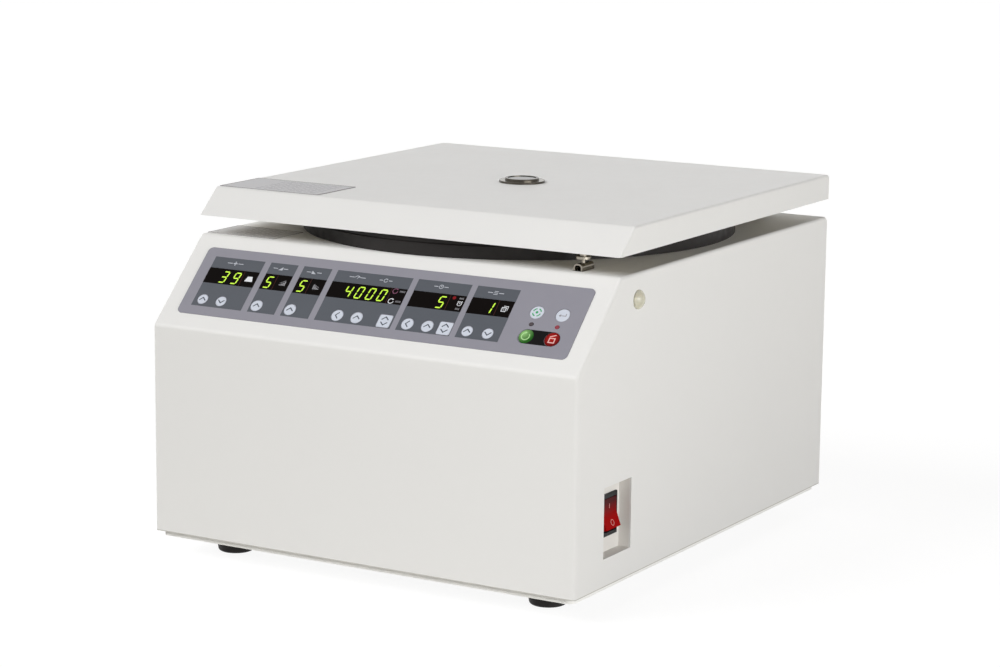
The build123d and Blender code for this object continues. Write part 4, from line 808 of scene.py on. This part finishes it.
def start_tree(name, **inputs):
    """A Geometry Nodes tree with named inputs, given as label=kind with _ for a space."""
    tree = bpy.data.node_groups.new(name, "GeometryNodeTree")
    for label, kind in {**inputs, "Finish": "Material"}.items():
        tree.interface.new_socket(label.replace("_", " "), in_out="INPUT",
                                  socket_type="NodeSocket" + kind)
    tree.interface.new_socket("Result", in_out="OUTPUT", socket_type="NodeSocketGeometry")
    return tree, add(tree, "NodeGroupInput").outputs


def end_tree(tree, given, geometry):
    """Makes the instances real and gives them the tree's Finish."""
    real = add(tree, "GeometryNodeRealizeInstances", {"Geometry": geometry})
    dressed = add(tree, "GeometryNodeSetMaterial", {"Geometry": real, "Material": given["Finish"]})
    add(tree, "NodeGroupOutput", {"Result": dressed})
    return tree


def seven_segment_tree():
    """A tree that sets a pointed bar on each point, turned by the point's own value, and shears all."""
    tree, given = start_tree(
        "seven_segment_display", Lit_bars="Geometry", Bar_length="Float", Bar_width="Float",
        Thickness="Float", Tips_from="Float", Stretch="Float", Shear="Float")
    size = add(tree, "ShaderNodeCombineXYZ", {"X": given["Bar length"], "Y": given["Bar width"],
                                              "Z": given["Thickness"]})
    bar = add(tree, "GeometryNodeMeshCube", {"Size": size, "Vertices X": 4})
    spot = add(tree, "GeometryNodeInputPosition")
    xyz = add(tree, "ShaderNodeSeparateXYZ", {0: spot}).outputs
    reach = add(tree, "ShaderNodeMath", {0: xyz["X"]}, operation="ABSOLUTE")
    at_end = add(tree, "ShaderNodeMath", {0: reach, 1: given["Tips from"]}, operation="GREATER_THAN")
    # The cube's inner columns lie at a sixth of its length. They move out to the bar's shoulders.
    moved_x = add(tree, "ShaderNodeMath", {0: xyz["X"], 1: given["Stretch"]}, operation="MULTIPLY")
    shoulders = add(tree, "ShaderNodeCombineXYZ", {"X": moved_x, "Y": xyz["Y"], "Z": xyz["Z"]})
    tips = add(tree, "ShaderNodeCombineXYZ", {"X": xyz["X"], "Y": 0.0, "Z": xyz["Z"]})
    shaped = add(tree, "GeometryNodeSwitch", {"Switch": at_end, "False": shoulders, "True": tips},
                 input_type="VECTOR")
    pointed = add(tree, "GeometryNodeSetPosition", {"Geometry": bar, "Position": shaped})
    welded = add(tree, "GeometryNodeMergeByDistance", {"Geometry": pointed, "Distance": 1e-4})
    turn = add(tree, "GeometryNodeInputNamedAttribute", {"Name": "turn"}, data_type="FLOAT")
    spin = add(tree, "ShaderNodeCombineXYZ", {"Z": turn})
    many = add(tree, "GeometryNodeInstanceOnPoints", {
        "Points": given["Lit bars"], "Instance": welded, "Rotation": spin})
    real = add(tree, "GeometryNodeRealizeInstances", {"Geometry": many})
    slide = add(tree, "ShaderNodeMath", {0: xyz["Y"], 1: given["Shear"]}, operation="MULTIPLY")
    shift = add(tree, "ShaderNodeCombineXYZ", {"X": slide})
    sheared = add(tree, "GeometryNodeSetPosition", {"Geometry": real, "Offset": shift})
    return end_tree(tree, given, sheared)


def grow(name, tree, base, values, worn, place, body):
    """Runs a Geometry Nodes tree on a mesh and keeps the result as one plain mesh on a body."""
    sockets = {item.name: item.identifier for item in tree.interface.items_tree
               if item.in_out == "INPUT"}
    holder = bpy.data.objects.new(name, base)
    scene.collection.objects.link(holder)
    modifier = holder.modifiers.new(name, "NODES")
    modifier.node_group = tree
    for label, value in {**values, "Finish": worn}.items():
        modifier[sockets[label]] = value
    bpy.context.view_layer.update()
    graph = bpy.context.evaluated_depsgraph_get()
    grown = bpy.data.meshes.new_from_object(holder.evaluated_get(graph))
    holder.modifiers.remove(modifier)
    bpy.data.objects.remove(holder)
    grown.name = name
    grown.transform(place)
    print(name, "faces", len(grown.polygons))
    return put(name, grown, body)


lit_bars = [(u + BARS[b][0], BARS[b][1], BARS[b][2]) for digit, u in SHOWN for b in LIT[digit]]
points = bpy.data.meshes.new("lit_bars")
points.from_pydata([(u, v, 0) for u, v, _ in lit_bars], [], [])
turns = points.attributes.new("turn", "FLOAT", "POINT")
turns.data.foreach_set("value", [math.pi / 2 * t for _, _, t in lit_bars])
STRETCH = (BAR_LONG - BAR_WIDE) / 2 / (BAR_LONG / 6)
grow("display_digits", seven_segment_tree(), points,
     {"Bar length": BAR_LONG, "Bar width": BAR_WIDE, "Thickness": 0.03, "Tips from": 0.4 * BAR_LONG,
      "Stretch": STRETCH, "Shear": math.tan(SLANT)},
     digit_lamp, ON_PANEL @ Matrix.Translation((0, DIGIT_V, FILM_TOP + 0.005)), "casing")

# %% [markdown]
# ### Symbols on the keys
# Every key moves on its own when it is pressed, so its symbol rides on the key's own body and lies
# on its top. The plain arrows are one chevron, turned. The start and stop keys get a turning arrow
# and an open lid.

# %% Symbols on the keys and lamps
chevron = [[stroke([(-2.8, -1.1), (0, 1.5), (2.8, -1.1)], 0.85)]]
small_chevron = [[stroke([(-2.9, -0.9), (0, 1.7), (2.9, -0.9)], 0.85)]]
enter = [[stroke([(2.6, 1.5), (2.6, -0.5), (-1.9, -0.5)], 0.6)],
         [[(-3.1, -0.5), (-1.4, 0.8), (-1.4, -1.8)]]]
target = [[stroke(bend(0, 0, 3.2, start + 14, start + 76, 8), 0.9)] for start in (0, 90, 180, 270)]
target.append([disc(0, 0, 1.1, 20)])
open_lid = [[plate(-2.6, 2.6, -3.2, 1.3), plate(-1.8, 1.8, -2.4, 0.5)],
            [stroke([(-2.5, 2.0), (2.1, 3.8)], 0.75)]]
SIGNS = {
    "up": (chevron, symbol_ink), "down": (all_moved(chevron, 0, 0, 180), symbol_ink),
    "left": (all_moved(chevron, 0, 0, 90), symbol_ink),
    "mode": (all_moved(small_chevron, 0, 1.9) + all_moved(small_chevron, 0, -1.9, 180), symbol_ink),
    "recall": (target, green_ink), "save": (enter, grey_ink),
    "start": (turning_arrow(3.1, 0.85, 110, 400), start_ink), "stop": (open_lid, stop_ink),
}
KEY_TOP = 0.55
for key, (u, v, _, sign) in KEYS.items():
    symbol, worn = SIGNS[sign]
    print_piece(key.replace("key", "symbol", 1), all_moved(symbol, u, v), KEY_TOP - 0.02,
                KEY_TOP + 0.02, worn, body=key, slot="pale_key")
LAMP_V, LAMP_RADIUS = 39.4, 1.7
for name, u, worn in (("lamp_lens_off", 129.5, dark_lamp), ("lamp_lens_on", 150.6, crimson_lamp)):
    print_piece(name, [[disc(u, LAMP_V, LAMP_RADIUS)]], FILM_TOP - 0.03, FILM_TOP + 0.05, worn)
print(len(KEYS), "key symbols")

# %% [markdown]
# ### Marks on the power rocker
# The rocker carries the plain I and O of every mains switch. A ray towards each half finds the
# place and the tilt of its face, so the marks lie flat on it whatever its shape.

# %% Rocker marks
def facing(node, start, along):
    """A millimetre frame that lies on a node's face where a ray from start meets it."""
    found, spot, out, _ = nodes[node].ray_cast(Vector(start) * MM, Vector(along))
    assert found, node
    side = Vector((0, 0, 1)).cross(out).normalized()
    up = out.cross(side)
    turn = Matrix((side, up, out)).transposed().to_4x4()
    print(node, "face at", [round(1000 * c, 1) for c in spot], "looks", [round(c, 2) for c in out])
    return Matrix.Translation(spot) @ turn @ Matrix.Scale(MM, 4)


rocker_low, rocker_high = (v * 1000 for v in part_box("power_rocker"))
middle = (rocker_low + rocker_high) / 2
quarter = (rocker_high.z - rocker_low.z) / 4
OUTSIDE = 200
for name, shape, rise in (("mark_on", [plate(-0.3, 0.3, -1.7, 1.7)], quarter),
                          ("mark_off", ring(0.6, -0.6, 2.1, 0.42), -quarter)):
    half = facing("power_rocker", (OUTSIDE, middle.y, middle.z + rise), (-1, 0, 0))
    print_piece(name, [shape], -0.02, 0.05, rocker_ink, "power_rocker", half, "rocker_red")

# %% [markdown]
# ### Rules on the foil plates
# Two silver plates are stuck on the lid and on the deck. They carry rows of short dashes, as a
# layout shows a text block, within a thin dark border. Geometry Nodes sets a dash on each point of
# a grid and gives it a random length with a fixed seed.

# %% Ruled foil plates
def ruled_tree():
    """A tree that fills a rectangle with rows of dashes whose lengths vary."""
    tree, given = start_tree(
        "ruled_block", Width="Float", Depth="Float", Dash="Float", Line="Float", Thickness="Float",
        Columns="Int", Rows="Int", Seed="Int")
    spots = add(tree, "GeometryNodeMeshGrid", {
        "Size X": given["Width"], "Size Y": given["Depth"], "Vertices X": given["Columns"],
        "Vertices Y": given["Rows"]})
    size = add(tree, "ShaderNodeCombineXYZ", {"X": given["Dash"], "Y": given["Line"],
                                              "Z": given["Thickness"]})
    dash = add(tree, "GeometryNodeMeshCube", {"Size": size})
    share = add(tree, "FunctionNodeRandomValue", {"Min": 0.35, "Max": 0.95, "Seed": given["Seed"]},
                data_type="FLOAT").outputs["Value"]
    length = add(tree, "ShaderNodeCombineXYZ", {"X": share, "Y": 1.0, "Z": 1.0})
    many = add(tree, "GeometryNodeInstanceOnPoints", {
        "Points": spots, "Instance": dash, "Scale": length})
    return end_tree(tree, given, many)


faint_ink = ink("faint_grey_plate_ink", "#939297", "#88878c")
border_ink = ink("brown_plate_border", "#4a3d3a", "#403533")
ruled = ruled_tree()
BLOCK_MIDDLE, BLOCK_WIDE, BLOCK_DEEP = 0.62, 0.62, 0.72
RIM = ((0.1, 1.0), (0.9, 0.7))  # Inset and corner radius of the border's outer and inner edge.
for node, body, columns, rows in (("lid_foil_plate", "lid", 9, 8), ("deck_foil_plate", "casing", 6, 7)):
    low, high = (v * 1000 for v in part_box(node))
    wide, deep = high.x - low.x, high.y - low.y
    corner = Matrix.Scale(MM, 4) @ Matrix.Translation((low.x, low.y, high.z))
    rim = [plate(inset, wide - inset, inset, deep - inset, radius) for inset, radius in RIM]
    print_piece(node + "_border", [rim], -0.02, 0.03, border_ink, body, corner, "foil")
    step = BLOCK_WIDE * wide / columns
    grow(node + "_rules", ruled, bpy.data.meshes.new("no_points"),
         {"Width": step * (columns - 1), "Depth": BLOCK_DEEP * deep, "Dash": step, "Line": 0.9,
          "Thickness": 0.04, "Columns": columns, "Rows": rows, "Seed": 7}, faint_ink,
         corner @ Matrix.Translation((BLOCK_MIDDLE * wide, 0.5 * deep, 0.01)), body)

# %% [markdown]
# ### Screws of the hinge leaves
# Each hinge leaf is held by three small screws with a cross in the head. Of each one only the cross
# is drawn, as two thin bars a little above the leaf. A Geometry Nodes tree crosses the bars and sets
# them on each point. Chance, with a fixed seed, turns each cross, because no fitter leaves them
# parallel.

# %% Screws of the hinge leaves
def screw_tree():
    """A tree that sets a cross of two bars on each point."""
    tree, given = start_tree("cross_recess_screws", Places="Geometry", Length="Float",
                             Width="Float", Height="Float", Seed="Int")
    cross = add(tree, "GeometryNodeJoinGeometry")
    for x, y in (("Length", "Width"), ("Width", "Length")):
        span = add(tree, "ShaderNodeCombineXYZ", {"X": given[x], "Y": given[y], "Z": given["Height"]})
        bar = add(tree, "GeometryNodeMeshCube", {"Size": span})
        tree.links.new(bar.outputs[0], cross.inputs[0])
    chance = add(tree, "FunctionNodeRandomValue", {"Min": 0.0, "Max": math.pi / 2,
                                                   "Seed": given["Seed"]}, data_type="FLOAT")
    spin = add(tree, "ShaderNodeCombineXYZ", {"Z": chance.outputs["Value"]})
    many = add(tree, "GeometryNodeInstanceOnPoints", {
        "Points": given["Places"], "Instance": cross, "Rotation": spin})
    return end_tree(tree, given, many)


screws = screw_tree()
CROSS_FROM, CROSS_TO = 0.585, 1.3
CROSS = {"Length": 3.15, "Width": 0.8, "Height": CROSS_TO - CROSS_FROM, "Seed": 11}
CROSS_MIDDLE = Matrix.Translation((0, 0, (CROSS_FROM + CROSS_TO) / 2))
LEAF_THICK, HALF_LEAF = 2.0, 20.0
LEAF_SPOTS = ((-12.5, 6.5), (12.5, 6.5), (0, 16.5))
for node, body, underneath in (("hinge_bases", "casing", False), ("hinge_arms", "lid", True)):
    low, high = (v * 1000 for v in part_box(node))
    faced = Matrix.Rotation(math.pi if underneath else 0.0, 4, "X")
    level = high.z - LEAF_THICK if underneath else low.z + LEAF_THICK
    spots = bpy.data.meshes.new(node + "_screw_places")
    spots.from_pydata([faced @ Vector((m + x, low.y + y, 0))
                       for m in (low.x + HALF_LEAF, high.x - HALF_LEAF) for x, y in LEAF_SPOTS], [], [])
    place = Matrix.Scale(MM, 4) @ Matrix.Translation((0, 0, level)) @ faced @ CROSS_MIDDLE
    grow(node + "_screws", screws, spots, CROSS, zinc, place, body)
